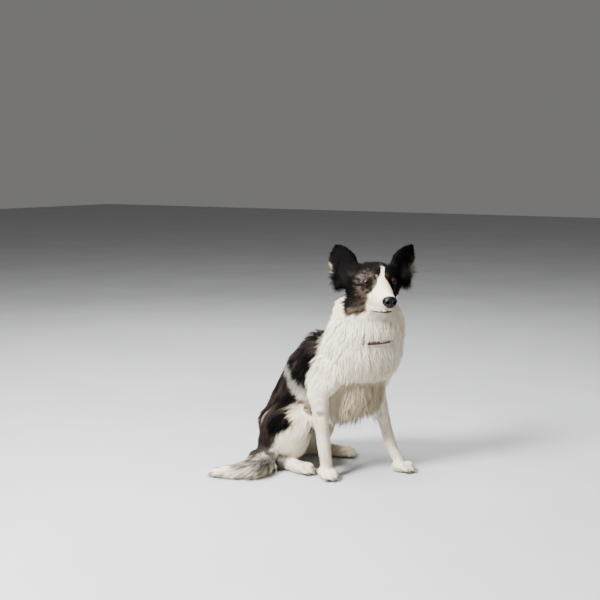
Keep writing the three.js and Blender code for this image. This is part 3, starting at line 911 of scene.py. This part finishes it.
    def unwrap(self, skin: bpy.types.Object) -> None:
        """Unfolds the skin by its own shape and keeps the corner places for the tufts' roots."""
        skin.data.uv_layers.new(name=BAKE)
        bpy.context.view_layer.objects.active = skin
        skin.select_set(True)
        bpy.ops.object.mode_set(mode="EDIT")
        bpy.ops.mesh.select_all(action="SELECT")
        bpy.ops.uv.smart_project(angle_limit=math.radians(72), island_margin=0.002)
        bpy.ops.object.mode_set(mode="OBJECT")
        skin.select_set(False)
        flat = np.zeros(len(skin.data.loops) * 2)
        skin.data.uv_layers[BAKE].data.foreach_get("uv", flat)
        self.corners = flat.reshape(-1, 3, 2)


# ---------------------------------------------------------------- collar


@dataclass
class Collar:
    """A thin leather band, lower at the breast. Hair hides all but a short stretch in front, its window.

    facing is the way its front looks, clear how far it stands off the skin in the window, window the half angle
    that shows, and edge the band's section: shares of its width and of its thickness.
    """

    skin: Skin
    tilt: float = math.radians(17)
    facing: tuple[float, float] = (-0.513, -0.858)
    width: float = 0.0095
    thickness: float = 0.0022
    clear: float = 0.0035
    window: float = math.radians(43)
    around: int = 160
    edge: tuple = ((-0.5, 0.0), (-0.5, 0.7), (-0.36, 1.0), (0.36, 1.0), (0.5, 0.7), (0.5, 0.0))
    shortest_tuft: float = 0.007
    outside: float = 0.3

    def __post_init__(self) -> None:
        """Finds the band's plane from its frame node."""
        self.middle = centre_of("collar")
        front = np.array((*unit(np.array(self.facing)), 0.0))
        self.front = front * math.cos(self.tilt) - UP * math.sin(self.tilt)
        self.across = unit(np.cross(self.front, UP))
        self.axis = unit(np.cross(self.across, self.front))

    def in_window(self, root: np.ndarray) -> np.ndarray:
        """Which places lie in the stretch that shows."""
        flat = root - self.middle
        turned = np.arctan2(np.abs(flat @ self.across), flat @ self.front)
        return turned < self.window + noise(root, 0.012, 31) * 0.15

    def covers(self, root: np.ndarray) -> np.ndarray:
        """Which places lie under the stretch that shows, where nothing grows."""
        return self.in_window(root) & (np.abs((root - self.middle) @ self.axis) < self.width * 0.6)

    def shorten(self, root: np.ndarray, run: np.ndarray, length: np.ndarray,
                rng: np.random.Generator) -> np.ndarray:
        """Lengths of tufts that stop at the band's upper edge, or a little over it, where the band shows.

        Args:
            root: Where the tufts stand.
            run: Which way they run.
            length: How long they would be.
            rng: Where chance comes from.

        Returns:
            Their new lengths.
        """
        above = (root - self.middle) @ self.axis - self.width * rng.uniform(-0.1, 0.6, len(root))
        down = np.maximum(-(run @ self.axis), 0.3)
        to_band = np.maximum(above / down * 0.95, self.shortest_tuft)
        most = np.where(self.in_window(root) & (above > 0), to_band, 1.0)
        return np.minimum(length, most[:, None])

    def build(self) -> None:
        """Lays the band on the skin all round."""
        surface = self.skin.near()
        turns = np.linspace(0, 2 * math.pi, self.around, endpoint=False)
        rays = np.cos(turns)[:, None] * self.front + np.sin(turns)[:, None] * self.across
        hits = [surface.ray_cast(Vector(self.middle + ray * self.outside), Vector(-ray)) for ray in rays]
        far = self.outside - np.array([hit[3] for hit in hits])
        for _ in range(3):
            far = np.maximum(far, (np.roll(far, 1) + np.roll(far, -1)) / 2)
        turned = np.minimum(turns, 2 * math.pi - turns)
        clear = self.clear * (0.1 + 0.9 * smoothstep(self.window + 0.3, self.window, turned))
        points = [self.middle + ray * (reach + deep * self.thickness) + self.axis * high * self.width
                  for ray, reach in zip(rays, far + clear) for high, deep in self.edge]
        faces = grid_faces(self.around, len(self.edge), close_rows=True)
        finish = MottledFinish("strap_leather", roughness=0.55, specular=0.3, dark=(44, 22, 18),
                               light=(78, 42, 34), patches=140, grain=900, cells=True)
        place(mesh_object("collar_band", np.array(points), faces, finish.make()), ("collar",))


# ---------------------------------------------------------------- coat


@dataclass(frozen=True)
class TuftForm:
    """The mesh of one tuft: a three-sided lock of rings that ends in a point, closed at its root.

    stations are the rings' places along it from 0 to 1, widths their widths, and shades how bright each ring
    and the tip are: painted shade that darkens the root, with the tip a little lighter.
    """

    stations: tuple[float, ...]
    widths: tuple[float, ...]
    shades: tuple[float, ...]

    @property
    def size(self) -> int:
        """How many vertices one tuft has."""
        return 3 * len(self.stations) + 1

    def faces(self) -> np.ndarray:
        """The tuft's triangles, by vertex number."""
        tip = self.size - 1
        made = [(0, 2, 1)]
        for ring in range(len(self.stations) - 1):
            for side in range(3):
                a, b = 3 * ring + side, 3 * ring + (side + 1) % 3
                made += [(a, b, b + 3), (a, b + 3, a + 3)]
        last = 3 * (len(self.stations) - 1)
        made += [(last + side, last + (side + 1) % 3, tip) for side in range(3)]
        return np.array(made)

    def flat(self) -> np.ndarray:
        """The tuft's own map, from 0 to 1 across and along, for each corner of each triangle."""
        heights = (*self.stations, 1.0)
        made = [((0.0, 0.0), (0.6, 0.0), (0.3, 0.02))]
        for ring in range(len(self.stations) - 1):
            low, high = heights[ring], heights[ring + 1]
            for side in range(3):
                u, v = side / 3, (side + 1) / 3
                made += [((u, low), (v, low), (v, high)), ((u, low), (v, high), (u, high))]
        for side in range(3):
            u, v = side / 3, (side + 1) / 3
            made.append(((u, heights[-2]), (v, heights[-2]), ((u + v) / 2, 1.0)))
        return np.array(made)


# Each form's shades paint shade on the tuft's root and make its tip a little lighter.
LONG_TUFT = TuftForm((0.0, 0.34, 0.7), (0.8, 1.0, 0.62), (0.88, 0.97, 1.0, 1.04))
SHORT_TUFT = TuftForm((0.0, 0.55), (1.0, 0.72), (0.88, 0.97, 1.04))


@dataclass
class CoatPiece:
    """Tufts of one part of the coat, joined in one mesh.

    count is how many tufts, gather how strongly they lean to the middles of their locks, droop how much their
    weight pulls them down and wave how far they swing aside. softness is how much the shading follows the
    skin's, and crispness how closely the colour follows the markings along a tuft. ruffle and sway turn
    single tufts and whole locks off the lie, and ragged is how unequally long the locks are. patch is a
    tuft's size on the map that is baked, lock_share how many locks there are for each tuft, and lock_reach
    how far a tuft leans, as a share of its length. The ranges are shares of the skin's own values, which
    each tuft takes at random, and arch says how a tuft rises: how steeply at first, less how much of it is
    lost again at the tip.
    """

    name: str
    count: int
    form: TuftForm
    gather: float = 0.55
    droop: float = 0.0
    wave: float = 0.0
    softness: float = 0.7
    crispness: float = 0.6
    ruffle: float = 0.10
    sway: float = 0.10
    ragged: float = 0.12
    patch: float = 0.003
    lock_share: float = 0.12
    lock_reach: float = 0.35
    lengths: tuple[float, float] = (0.75, 1.15)
    widths: tuple[float, float] = (0.75, 1.25)
    rises: tuple[float, float] = (0.35, 1.15)
    arch: tuple[float, float] = (2.1, 1.25)
    along: float = 0.94
    root_depth: float = 0.001
    floor_gap: float = 0.0006

    def build(self, skin: Skin, fields: dict[str, np.ndarray], material: bpy.types.Material,
              seed: int, collar: Collar) -> bpy.types.Object:
        """Grows the tufts from the skin.

        Args:
            skin: The skin they stand on.
            fields: Their depth, length, width and direction, one row for each vertex of the skin.
            material: What the hair is made of.
            seed: A number that picks their places.
            collar: The band, which tufts stay off where it shows.

        Returns:
            The joined piece.
        """
        rng = np.random.default_rng(seed)
        triangle, share = self.roots(skin, fields, rng)
        corner = skin.triangles[triangle]

        def at_root(values: np.ndarray) -> np.ndarray:
            """Vertex values at each root."""
            return (values[corner] * share[:, :, None]).sum(1)

        root, normal = at_root(skin.points), unit(at_root(skin.surface_normals))
        run = at_root(fields["direction"])
        run = unit(run - normal * (run * normal).sum(1, keepdims=True))
        length = at_root(fields["length"]) * rng.uniform(*self.lengths, (self.count, 1))
        width = at_root(fields["width"]) * rng.uniform(*self.widths, (self.count, 1))
        rise = at_root(fields["depth"]) * rng.uniform(*self.rises, (self.count, 1))
        pull = self.lock_pull(root, length, rng)
        turn = rng.normal(0, self.ruffle, (self.count, 1))
        turn = turn + rng.normal(0, self.sway, len(root))[self.locks, None]
        run = unit(run + np.cross(normal, run) * turn)
        side = np.cross(normal, run)
        length = length * rng.uniform(1 - self.ragged, 1 + self.ragged * 0.6, len(root))[self.locks, None]
        length = collar.shorten(root, run, length, rng)
        phase = noise(root, 0.04, seed)[:, None] * 3
        path = []
        for t in (*self.form.stations, 1.0):
            swing = side * np.sin(phase + t * 5) * self.wave * length * t
            fall = UP * -self.droop * length * t * t
            arch = normal * rise * (self.arch[0] * t - self.arch[1] * t * t)
            path.append(root - normal * self.root_depth + run * length * t * self.along + arch + swing + fall
                        + pull * self.gather * t)
        points = self.rings(path, normal, side, width)
        points[:, :, 2] = np.maximum(points[:, :, 2], self.floor_gap)
        colour = self.colours(skin, path, rng)
        keep = ~collar.covers(root)
        round_ = np.stack((*((-side, side, normal) * len(self.form.stations)), normal), 1)
        soft = unit(normal[:, None] * self.softness + round_ * (1 - self.softness))
        place_in_map = (skin.corners[triangle] * share[:, :, None]).sum(1)
        return self.join(points[keep], soft[keep], colour[keep], material, place_in_map[keep], rng)

    def roots(self, skin: Skin, fields: dict[str, np.ndarray],
              rng: np.random.Generator) -> tuple[np.ndarray, np.ndarray]:
        """Evenly spread places on this piece's part of the skin: their triangles and corner shares."""
        p = skin.points[skin.triangles]
        area = np.linalg.norm(np.cross(p[:, 1] - p[:, 0], p[:, 2] - p[:, 0]), axis=1)
        mine = np.array([hair_of(n).piece == self.name for n in skin.regions])[skin.owners_now]
        area = area * mine[skin.triangles].mean(1)
        thick = fields["length"] * fields["width"]
        area /= thick[skin.triangles[:, 0], 0]
        ends = np.cumsum(area)
        picks = (np.arange(self.count) + rng.random(self.count)) / self.count * ends[-1]
        triangle = np.minimum(np.searchsorted(ends, picks), len(area) - 1)
        a, b = np.sqrt(rng.random(self.count)), rng.random(self.count)
        return triangle, np.stack((1 - a, a * (1 - b), a * b), 1)

    def lock_pull(self, root: np.ndarray, length: np.ndarray, rng: np.random.Generator) -> np.ndarray:
        """How far each root lies from the middle of its lock, no further than a share of its length."""
        centres = root[rng.choice(len(root), int(self.count * self.lock_share), replace=False)]
        tree = KDTree(len(centres))
        for number, centre in enumerate(centres):
            tree.insert(centre, number)
        tree.balance()
        self.locks = np.array([tree.find(p)[1] for p in root])
        pull = centres[self.locks] - root
        far = np.linalg.norm(pull, axis=1, keepdims=True)
        return pull * np.minimum(1, self.lock_reach * length / np.maximum(far, 1e-6))

    def rings(self, path: list[np.ndarray], normal: np.ndarray, side: np.ndarray,
              width: np.ndarray) -> np.ndarray:
        """The vertices of every tuft along its path."""
        made = []
        for at, wide in zip(path, self.form.widths):
            half = width * wide / 2
            made += [at - side * half, at + side * half, at + normal * half * 0.9]
        return np.stack((*made, path[-1]), 1)

    def colours(self, skin: Skin, path: list[np.ndarray], rng: np.random.Generator) -> np.ndarray:
        """A colour for each vertex: the markings' along the tuft, darkened at its root as painted shade."""
        middle = skin.markings.colours(path[len(path) // 2])
        lock_tone = rng.uniform(0.84, 1.06, self.locks.max() + 1)[self.locks]
        own = (lock_tone * rng.uniform(0.9, 1.06, self.count))[:, None]
        made = []
        # Painted shade: each ring's colour is darkened towards the tuft's root.
        for at, shade in zip(path, self.form.shades):
            here = middle * (1 - self.crispness) + skin.markings.colours(at) * self.crispness
            made += [here * own * shade] * (1 if at is path[-1] else 3)
        return np.clip(np.stack(made, 1), 0, 0.9)

    def join(self, points: np.ndarray, soft: np.ndarray, colour: np.ndarray, material: bpy.types.Material,
             root_map: np.ndarray, rng: np.random.Generator) -> bpy.types.Object:
        """Makes the mesh, its soft shading directions, its colours and its two maps."""
        faces = self.form.faces()
        count = len(points)
        starts = np.arange(count)[:, None, None] * self.form.size
        corners = (faces[None] + starts).reshape(-1)
        mesh = bpy.data.meshes.new(self.name)
        mesh.vertices.add(count * self.form.size)
        mesh.vertices.foreach_set("co", points.astype(np.float32).ravel())
        total = count * len(faces)
        mesh.loops.add(total * 3)
        mesh.loops.foreach_set("vertex_index", corners.astype(np.int32))
        mesh.polygons.add(total)
        mesh.polygons.foreach_set("loop_start", np.arange(0, total * 3, 3, dtype=np.int32))
        mesh.polygons.foreach_set("use_smooth", np.ones(total, bool))
        mesh.update(calc_edges=True)
        mesh.normals_split_custom_set_from_vertices(soft.reshape(-1, 3))
        vertex_colours(mesh, colour.reshape(-1, 3))
        low, high = root_map.min(0), root_map.max(0)
        root_map = 0.01 + (root_map - low) / (high - low) * (0.98 - self.patch)
        flat = self.form.flat()
        shift = rng.random((count, 1, 1, 2)) * (50, 3)
        for name, values in (
            (STRAND, flat[None] + shift), (BAKE, root_map[:, None, None] + flat[None] * self.patch),
        ):
            layer = mesh.uv_layers.new(name=name)
            layer.data.foreach_set("uv", values.astype(np.float32).ravel())
        mesh.materials.append(material)
        return place(link(self.name, mesh))


@dataclass
class Coat:
    """The whole coat over a skin, parted where the collar shows.

    hem is how low the ruff's front hangs, hem_rise how much higher its sides end, and crest how much higher
    the hair stands over the withers. box_reach is how long hair may be near the right and rear faces of the
    CAD's box: distances, and lengths. The face's and ears' hair lengths go by places ahead and up in the
    head's axes, and the face's widths and depths by those lengths.
    """

    skin: Skin
    collar: Collar
    hem: float = 0.278
    withers: tuple[float, float, float] = (0.005, 0.010, 0.402)
    crest: float = 0.012
    crest_reach: float = 0.038
    ruff_back: float = -0.03
    hem_noise: float = 0.008
    hem_rise: float = 0.05
    shortest: float = 0.014
    box_reach: tuple = ((0.0, 0.07), (0.018, 0.06))
    face_ahead: tuple = (-50, -5, 25, 60, 110)
    face_length: tuple = (0.034, 0.024, 0.011, 0.007, 0.0045)
    face_width: tuple = ((0.005, 0.03), (0.0013, 0.0026))
    face_depth: tuple = ((0.006, 0.03), (0.0022, 0.009))
    ear_up: tuple = (15, 40, 100)
    ear_length: tuple = (0.036, 0.021, 0.013)
    pieces: tuple[CoatPiece, ...] = (
        CoatPiece("coat_head", 15500, SHORT_TUFT, gather=0.25, ruffle=0.14),
        CoatPiece("coat_cheeks", 4500, LONG_TUFT, gather=0.5, droop=0.06, wave=0.03),
        CoatPiece("coat_ears", 10000, SHORT_TUFT, gather=0.35, ruffle=0.14, sway=0.14, ragged=0.25),
        CoatPiece("coat_ruff", 12000, LONG_TUFT, gather=0.45, droop=0.12, wave=0.06, sway=0.22, ragged=0.2),
        CoatPiece("coat_breast", 5000, LONG_TUFT, gather=0.8, droop=0.1, wave=0.06, sway=0.22, ragged=0.5),
        CoatPiece("coat_shoulders", 5500, SHORT_TUFT, gather=0.3, droop=0.03),
        CoatPiece("coat_back", 10000, SHORT_TUFT, gather=0.35, droop=0.03),
        CoatPiece("coat_haunches", 9500, SHORT_TUFT, gather=0.4, droop=0.04, sway=0.15),
        CoatPiece("coat_forelegs", 9500, SHORT_TUFT, gather=0.25),
        CoatPiece("coat_hind_feet", 5500, SHORT_TUFT, gather=0.25),
        CoatPiece("coat_tail", 4500, LONG_TUFT, gather=0.5, droop=0.08, wave=0.08, sway=0.2, ragged=0.2),
    )

    def fields(self) -> dict[str, np.ndarray]:
        """Depth, length, width and direction of the hair at each vertex of the skin."""
        skin = self.skin
        made = {key: skin.smooth(skin.by_region(key), 10) for key in ("depth", "length", "width")}
        ahead, _, up = skin.head.local(skin.points).T
        x, y, z = skin.points.T
        on_head = np.array([n in ("head", "jaw") for n in skin.regions])[skin.owners_now]
        face = np.interp(ahead, self.face_ahead, self.face_length)[on_head]
        made["length"][on_head, 0] = face
        made["width"][on_head, 0] = np.interp(face, *self.face_width)
        made["depth"][on_head, 0] = np.interp(face, *self.face_depth)
        on_ear = np.array([n.startswith("ear") for n in skin.regions])[skin.owners_now]
        made["length"][on_ear, 0] = np.interp(up[on_ear], self.ear_up, self.ear_length)
        on_neck = (skin.owners_now == skin.regions.index("neck")) & (y < self.ruff_back)
        hem = self.hem + noise(skin.points, 0.022, 14) * self.hem_noise
        hem = hem + smoothstep(-0.10, -0.04, y) * self.hem_rise
        above_hem = np.maximum(z - hem, self.shortest)
        made["length"][on_neck, 0] = np.minimum(made["length"][on_neck, 0], above_hem[on_neck])
        to_box = np.minimum(x - CAD_BOX[0][0], CAD_BOX[1][1] - y)
        made["length"] = np.minimum(made["length"], np.interp(to_box, *self.box_reach)[:, None])
        far = np.linalg.norm(skin.points - np.array(self.withers), axis=1) / self.crest_reach
        made["depth"][:, 0] += self.crest * np.exp(-(far ** 2))
        made = {key: skin.smooth(value, 4) for key, value in made.items()}
        made["direction"] = self.directions()
        return made

    def directions(self) -> np.ndarray:
        """The comb's direction at each vertex, blended where regions meet."""
        skin = self.skin
        lies = [hair_of(n).lie for n in skin.regions]
        total = np.zeros_like(skin.points)
        for lie in Lie:
            mine = np.array([found is lie for found in lies], float)[skin.owners_now][:, None]
            total += skin.smooth(mine, 16) * skin.comb.direction(lie, skin.points)
        normal = skin.surface_normals
        total -= normal * (total * normal).sum(1, keepdims=True)
        return unit(skin.smooth(unit(total), 8))

    def build(self) -> None:
        """Grows every piece."""
        material = CoatFinish("coat_hair", roughness=0.7, specular=0.03).make()
        fields = self.fields()
        for number, piece in enumerate(self.pieces):
            piece.build(self.skin, fields, material, SEED + number, self.collar)


# ---------------------------------------------------------------- eyes, nose, mouth


@dataclass
class Eye:
    """An eyeball with a raised cornea, and the dark lids round its opening.

    half_open is the opening's half angles aside, above and below the gaze, and lid_profile the lids' section:
    angles out from the opening and heights over the ball, as shares of its radius.
    """

    side: str
    head: HeadAxes
    splay: float = math.radians(13)
    rise: float = math.radians(3)
    cornea: float = 0.0008
    cornea_reach: float = 0.98
    ball_share: float = 0.97
    sunk: float = 0.0012
    rounds: int = 48
    rings: int = 36
    half_open: tuple[float, float, float] = (math.radians(57), math.radians(47), math.radians(42))
    almond: float = 0.35
    lid_profile: tuple = ((0.0, 0.01), (0.0, 0.045), (0.07, 0.07), (0.18, 0.05), (0.34, -0.04), (0.5, -0.14))
    lid_thickness: float = 0.0008

    def axes(self) -> tuple[np.ndarray, np.ndarray, np.ndarray]:
        """The eye's outward, gaze and upward directions."""
        sign = -1 if self.side == "right" else 1
        gaze = unit(self.head.ahead * math.cos(self.splay) + self.head.aside * sign * math.sin(self.splay)
                    + UP * math.sin(self.rise))
        out = unit(np.cross(gaze, UP)) * -sign
        return out, gaze, np.cross(out, gaze) * -sign

    def build(self) -> None:
        """Makes the ball and the lids."""
        low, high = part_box(f"eye_{self.side}")
        self.radius = (high - low).z / 2 * self.ball_share
        self.middle = np.array((low + high) / 2) - self.axes()[1] * self.sunk
        self.ball()
        self.lids()

    def ball(self) -> None:
        """The eyeball, in rings round the gaze."""
        out, gaze, up = self.axes()
        points = []
        for ring in range(self.rings + 1):
            angle = math.pi * ring / self.rings
            bulge = self.cornea * max(0.0, math.cos(angle * 1.6)) if angle < self.cornea_reach else 0.0
            for step in range(self.rounds):
                turn = 2 * math.pi * step / self.rounds
                flat = out * math.cos(turn) + up * math.sin(turn)
                ray = gaze * math.cos(angle) + flat * math.sin(angle)
                points.append(self.middle + ray * (self.radius + bulge))
        faces = grid_faces(self.rings + 1, self.rounds, flip=True)
        corners = ((0, 0), (0, 1), (1, 1), (1, 0))
        maps = [((step + u) / self.rounds, (ring + v) / self.rings)
                for ring in range(self.rings) for step in range(self.rounds) for u, v in corners]
        finish = EyeFinish(f"eye_film_{self.side}", roughness=0.35, specular=0.08, coat=0.15)
        ball = mesh_object(f"eyeball_{self.side}", np.array(points), faces, finish.make())
        layer = ball.data.uv_layers.new(name=STRAND)
        layer.data.foreach_set("uv", np.array(maps, np.float32).ravel())
        place(ball, (f"eye_{self.side}",))

    def lids(self) -> None:
        """A dark rim with an almond opening, from the eyeball out to the skin."""
        out, gaze, up = self.axes()
        wide, over, under = self.half_open
        points = []
        for step in range(self.rounds):
            turn = 2 * math.pi * step / self.rounds
            high = over if math.sin(turn) > 0 else under
            across, along = math.cos(turn), math.sin(turn)
            edge = (across * wide, along * high * (1 - self.almond * across * across))
            for spread, lift in self.lid_profile:
                a, b = edge[0] + across * spread, edge[1] + along * spread
                angle = math.hypot(a, b)
                flat = (out * a + up * b) / angle
                ray = gaze * math.cos(angle) + flat * math.sin(angle)
                points.append(self.middle + ray * self.radius * (1 + lift))
        faces = grid_faces(self.rounds, len(self.lid_profile), close_rows=True, close_round=False, flip=True)
        finish = MottledFinish(f"lid_{self.side}", roughness=0.6, specular=0.06, dark=(4, 3, 3),
                               light=(12, 9, 9))
        lids = mesh_object(f"lids_{self.side}", np.array(points), faces, finish.make())
        shell = lids.modifiers.new("thickness", "SOLIDIFY")
        shell.thickness = self.lid_thickness
        place(lids)


@dataclass
class Nose:
    """The nose leather with its two nostrils and the groove between them.

    The depths and the narrowing are shares of its half sizes. squareness is how boxy the pad is, from 0 to 1.
    """

    head: HeadAxes
    half_wide: float = 0.0195
    half_high: float = 0.0160
    half_deep: float = 0.0160
    sunk: float = 0.0035
    squareness: float = 0.35
    narrowing: float = 0.34
    nostril_depth: float = 0.62
    slit_depth: float = 0.3
    groove_depth: float = 0.16
    rounds: int = 72
    rings: int = 56

    def build(self) -> None:
        """Shapes a round pad with half sizes of 1, narrow below and with comma nostrils, and scales it."""
        middle = centre_of("nose") - self.head.ahead * self.sunk
        lat, lon = np.meshgrid(np.linspace(0, math.pi, self.rings + 1),
                               np.linspace(0, 2 * math.pi, self.rounds, endpoint=False), indexing="ij")
        ahead = np.cos(lat)
        aside, up = np.sin(lat) * np.cos(lon), np.sin(lat) * np.sin(lon)
        square = (ahead ** 4 + aside ** 4 + up ** 4) ** -0.25
        squared = square * self.squareness + 1 - self.squareness
        narrow = 1 - self.narrowing * smoothstep(0.1, -1.0, up)
        x, y, z = ahead * squared, aside * squared * narrow, up * squared
        for sign in (-1, 1):
            hole = np.hypot((y - sign * 0.47) / 0.25, (z + 0.02 - 0.12 * np.abs(y)) / 0.27)
            slit = np.hypot((y - sign * 0.82) / 0.26, (z + 0.16) / 0.12)
            deep = smoothstep(1.15, 0.35, hole) * self.nostril_depth
            pit = np.maximum(deep, smoothstep(1.1, 0.3, slit) * self.slit_depth)
            wing = smoothstep(1.9, 1.2, hole) * smoothstep(0.9, 1.2, hole) * 0.09
            x = x + (wing - pit) * (ahead > 0)
        groove = smoothstep(0.10, 0.0, np.abs(y)) * smoothstep(0.35, 0.0, z)
        x = x - self.groove_depth * groove * (ahead > 0)
        points = (middle + x[..., None] * self.half_deep * self.head.ahead
                  + y[..., None] * self.half_wide * self.head.aside + z[..., None] * self.half_high * UP)
        faces = grid_faces(self.rings + 1, self.rounds, flip=True)
        finish = MottledFinish("nose_leather", roughness=0.34, specular=0.2, dark=(4, 3, 4),
                               light=(11, 9, 10), grain=700, depth=0.0004, cells=True)
        pad = mesh_object("nose_leather", points.reshape(-1, 3), faces, finish.make())
        place(pad, ("nose",))


@dataclass
class Mouth:
    """The dark edge of the closed lips, laid on the skin from corner to corner.

    radii are the edge's half widths and clear its heights over the skin, at the places of LIPS.
    """

    head: HeadAxes
    skin: Skin
    radii: tuple = (0.0004, 0.0006, 0.0008, 0.0011, 0.0015, 0.0018, 0.0020)
    clear: tuple = (0.0030, 0.0028, 0.0022, 0.0016, 0.0012, 0.0010, 0.0010)
    stations: int = 61
    sides: int = 8
    evenness: int = 6

    def build(self) -> None:
        """Sweeps a small tube along the lips."""
        surface = self.skin.near()
        half = [(*p, r, c) for p, r, c in zip(LIPS, self.radii, self.clear)]
        whole = half + [(a, -s, u, r, c) for a, s, u, r, c in reversed(half[:-1])]
        spots = np.array([[*self.head.world(a, s, u), r, c] for a, s, u, r, c in whole])
        steps = np.linspace(0, len(spots) - 1, self.stations)
        spots = np.stack([np.interp(steps, np.arange(len(spots)), spots[:, k]) for k in range(5)], 1)
        near = [surface.find_nearest(Vector(p))[:2] for p in spots[:, :3]]
        spots[:, :3] = [np.array(on) + np.array(out) * clear for (on, out), clear in zip(near, spots[:, 4])]
        for _ in range(self.evenness):
            spots[1:-1] = (spots[:-2] + spots[1:-1] * 2 + spots[2:]) / 4
        run = unit(np.gradient(spots[:, :3], axis=0))
        over = unit(np.cross(run, UP))
        lift = np.cross(over, run)
        points = []
        for spot, beside, above in zip(spots, over, lift):
            for side in range(self.sides):
                turn = 2 * math.pi * side / self.sides
                points.append(spot[:3] + (beside * math.cos(turn) + above * math.sin(turn)) * spot[3])
        first, last = range(self.sides), range(len(points) - self.sides, len(points))
        faces = [*grid_faces(len(spots), self.sides), tuple(reversed(first)), tuple(last)]
        finish = MottledFinish("lip_edge", roughness=0.6, specular=0.15, dark=(12, 9, 9), light=(30, 24, 24))
        place(mesh_object("lips", np.array(points), faces, finish.make()))


@dataclass
class Claws:
    """The frame's own claws, which keep their shape and get their finish."""

    def build(self) -> None:
        """Dresses the nodes."""
        finish = MottledFinish("claw_horn", roughness=0.4, specular=0.5, dark=(70, 60, 54),
                               light=(150, 136, 122), patches=90, grain=300)
        horn = finish.make()
        for name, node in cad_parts.items():
            if "claw" in name:
                node.data.materials.clear()
                node.data.materials.append(horn)


# ---------------------------------------------------------------- studio


@dataclass(frozen=True)
class Lamp:
    """A round soft light: its place from the model's middle, its width in metres and its power in watts."""

    name: str
    offset: tuple[float, float, float]
    size: float
    power: float


@dataclass
class Studio:
    """A pale floor, soft lights and the camera, which stands off from the nose."""

    camera_from_nose: tuple[float, float, float] = (-2.371, -1.262, 0.359)
    look: tuple[float, float] = (0.839, 0.545)
    tilt: float = math.radians(7.5)
    lens: float = 62.58
    sensor: float = 36.0
    floor_reach: float = 14.0
    room_colour: tuple[float, float, float] = (0.95, 0.94, 0.92)
    room_strength: float = 0.19
    lamps: tuple[Lamp, ...] = (
        Lamp("key", (-2.4, 0.6, 2.2), 1.0, 530),
        Lamp("fill", (-1.0, -2.8, 1.3), 2.0, 10),
        Lamp("top", (-0.4, 0.0, 2.8), 1.4, 150),
        Lamp("rim", (1.8, 1.8, 1.8), 1.6, 40),
    )

    def build(self) -> None:
        """Sets everything up."""
        self.floor()
        self.camera()
        self.lights()

    def floor(self) -> None:
        """A wide floor."""
        corners = np.array(((-1, -1, 0), (1, -1, 0), (1, 1, 0), (-1, 1, 0))) * self.floor_reach
        finish = MottledFinish("floor_pale", roughness=0.7, specular=0.2, dark=(172, 173, 174),
                               light=(180, 181, 182), patches=2.0, grain=60, depth=0.0002)
        mesh_object("floor", corners, [(0, 1, 2, 3)], finish.make())

    def camera(self) -> None:
        """The camera, level across and tilted a little down."""
        data = bpy.data.cameras.new("camera")
        data.lens, data.sensor_width = self.lens, self.sensor
        made = link("camera", data)
        made.location = Vector(centre_of("nose") + self.camera_from_nose)
        aim = Vector((*(unit(np.array(self.look)) * math.cos(self.tilt)), -math.sin(self.tilt)))
        made.rotation_euler = aim.to_track_quat("-Z", "Y").to_euler()
        bpy.context.scene.camera = made

    def lights(self) -> None:
        """The room's even light and the lamps, which all face the model's middle."""
        world = bpy.data.worlds.new("room")
        world.use_nodes = True
        room = world.node_tree.nodes["Background"]
        room.inputs["Color"].default_value = (*self.room_colour, 1)
        room.inputs["Strength"].default_value = self.room_strength
        bpy.context.scene.world = world
        low, high = CAD_BOX
        middle = (low + high) / 2
        for lamp in self.lamps:
            data = bpy.data.lights.new(lamp.name, "AREA")
            data.shape, data.size, data.energy = "DISK", lamp.size, lamp.power
            made = link(lamp.name, data)
            made.location = middle + Vector(lamp.offset)
            made.rotation_euler = (middle - made.location).to_track_quat("-Z", "Y").to_euler()


def main() -> None:
    """Builds the studio, then the model from the skin out."""
    logging.basicConfig(level=logging.INFO, format="%(message)s")
    Studio().build()
    head = HeadAxes()
    skin = Skin(head, Markings(head), Comb(head))
    skin.build()
    collar = Collar(skin)
    Coat(skin, collar).build()
    for side in SIDES:
        Eye(side, head).build()
    Nose(head).build()
    Mouth(head, skin).build()
    collar.build()
    Claws().build()


if __name__ == "__main__":
    main()
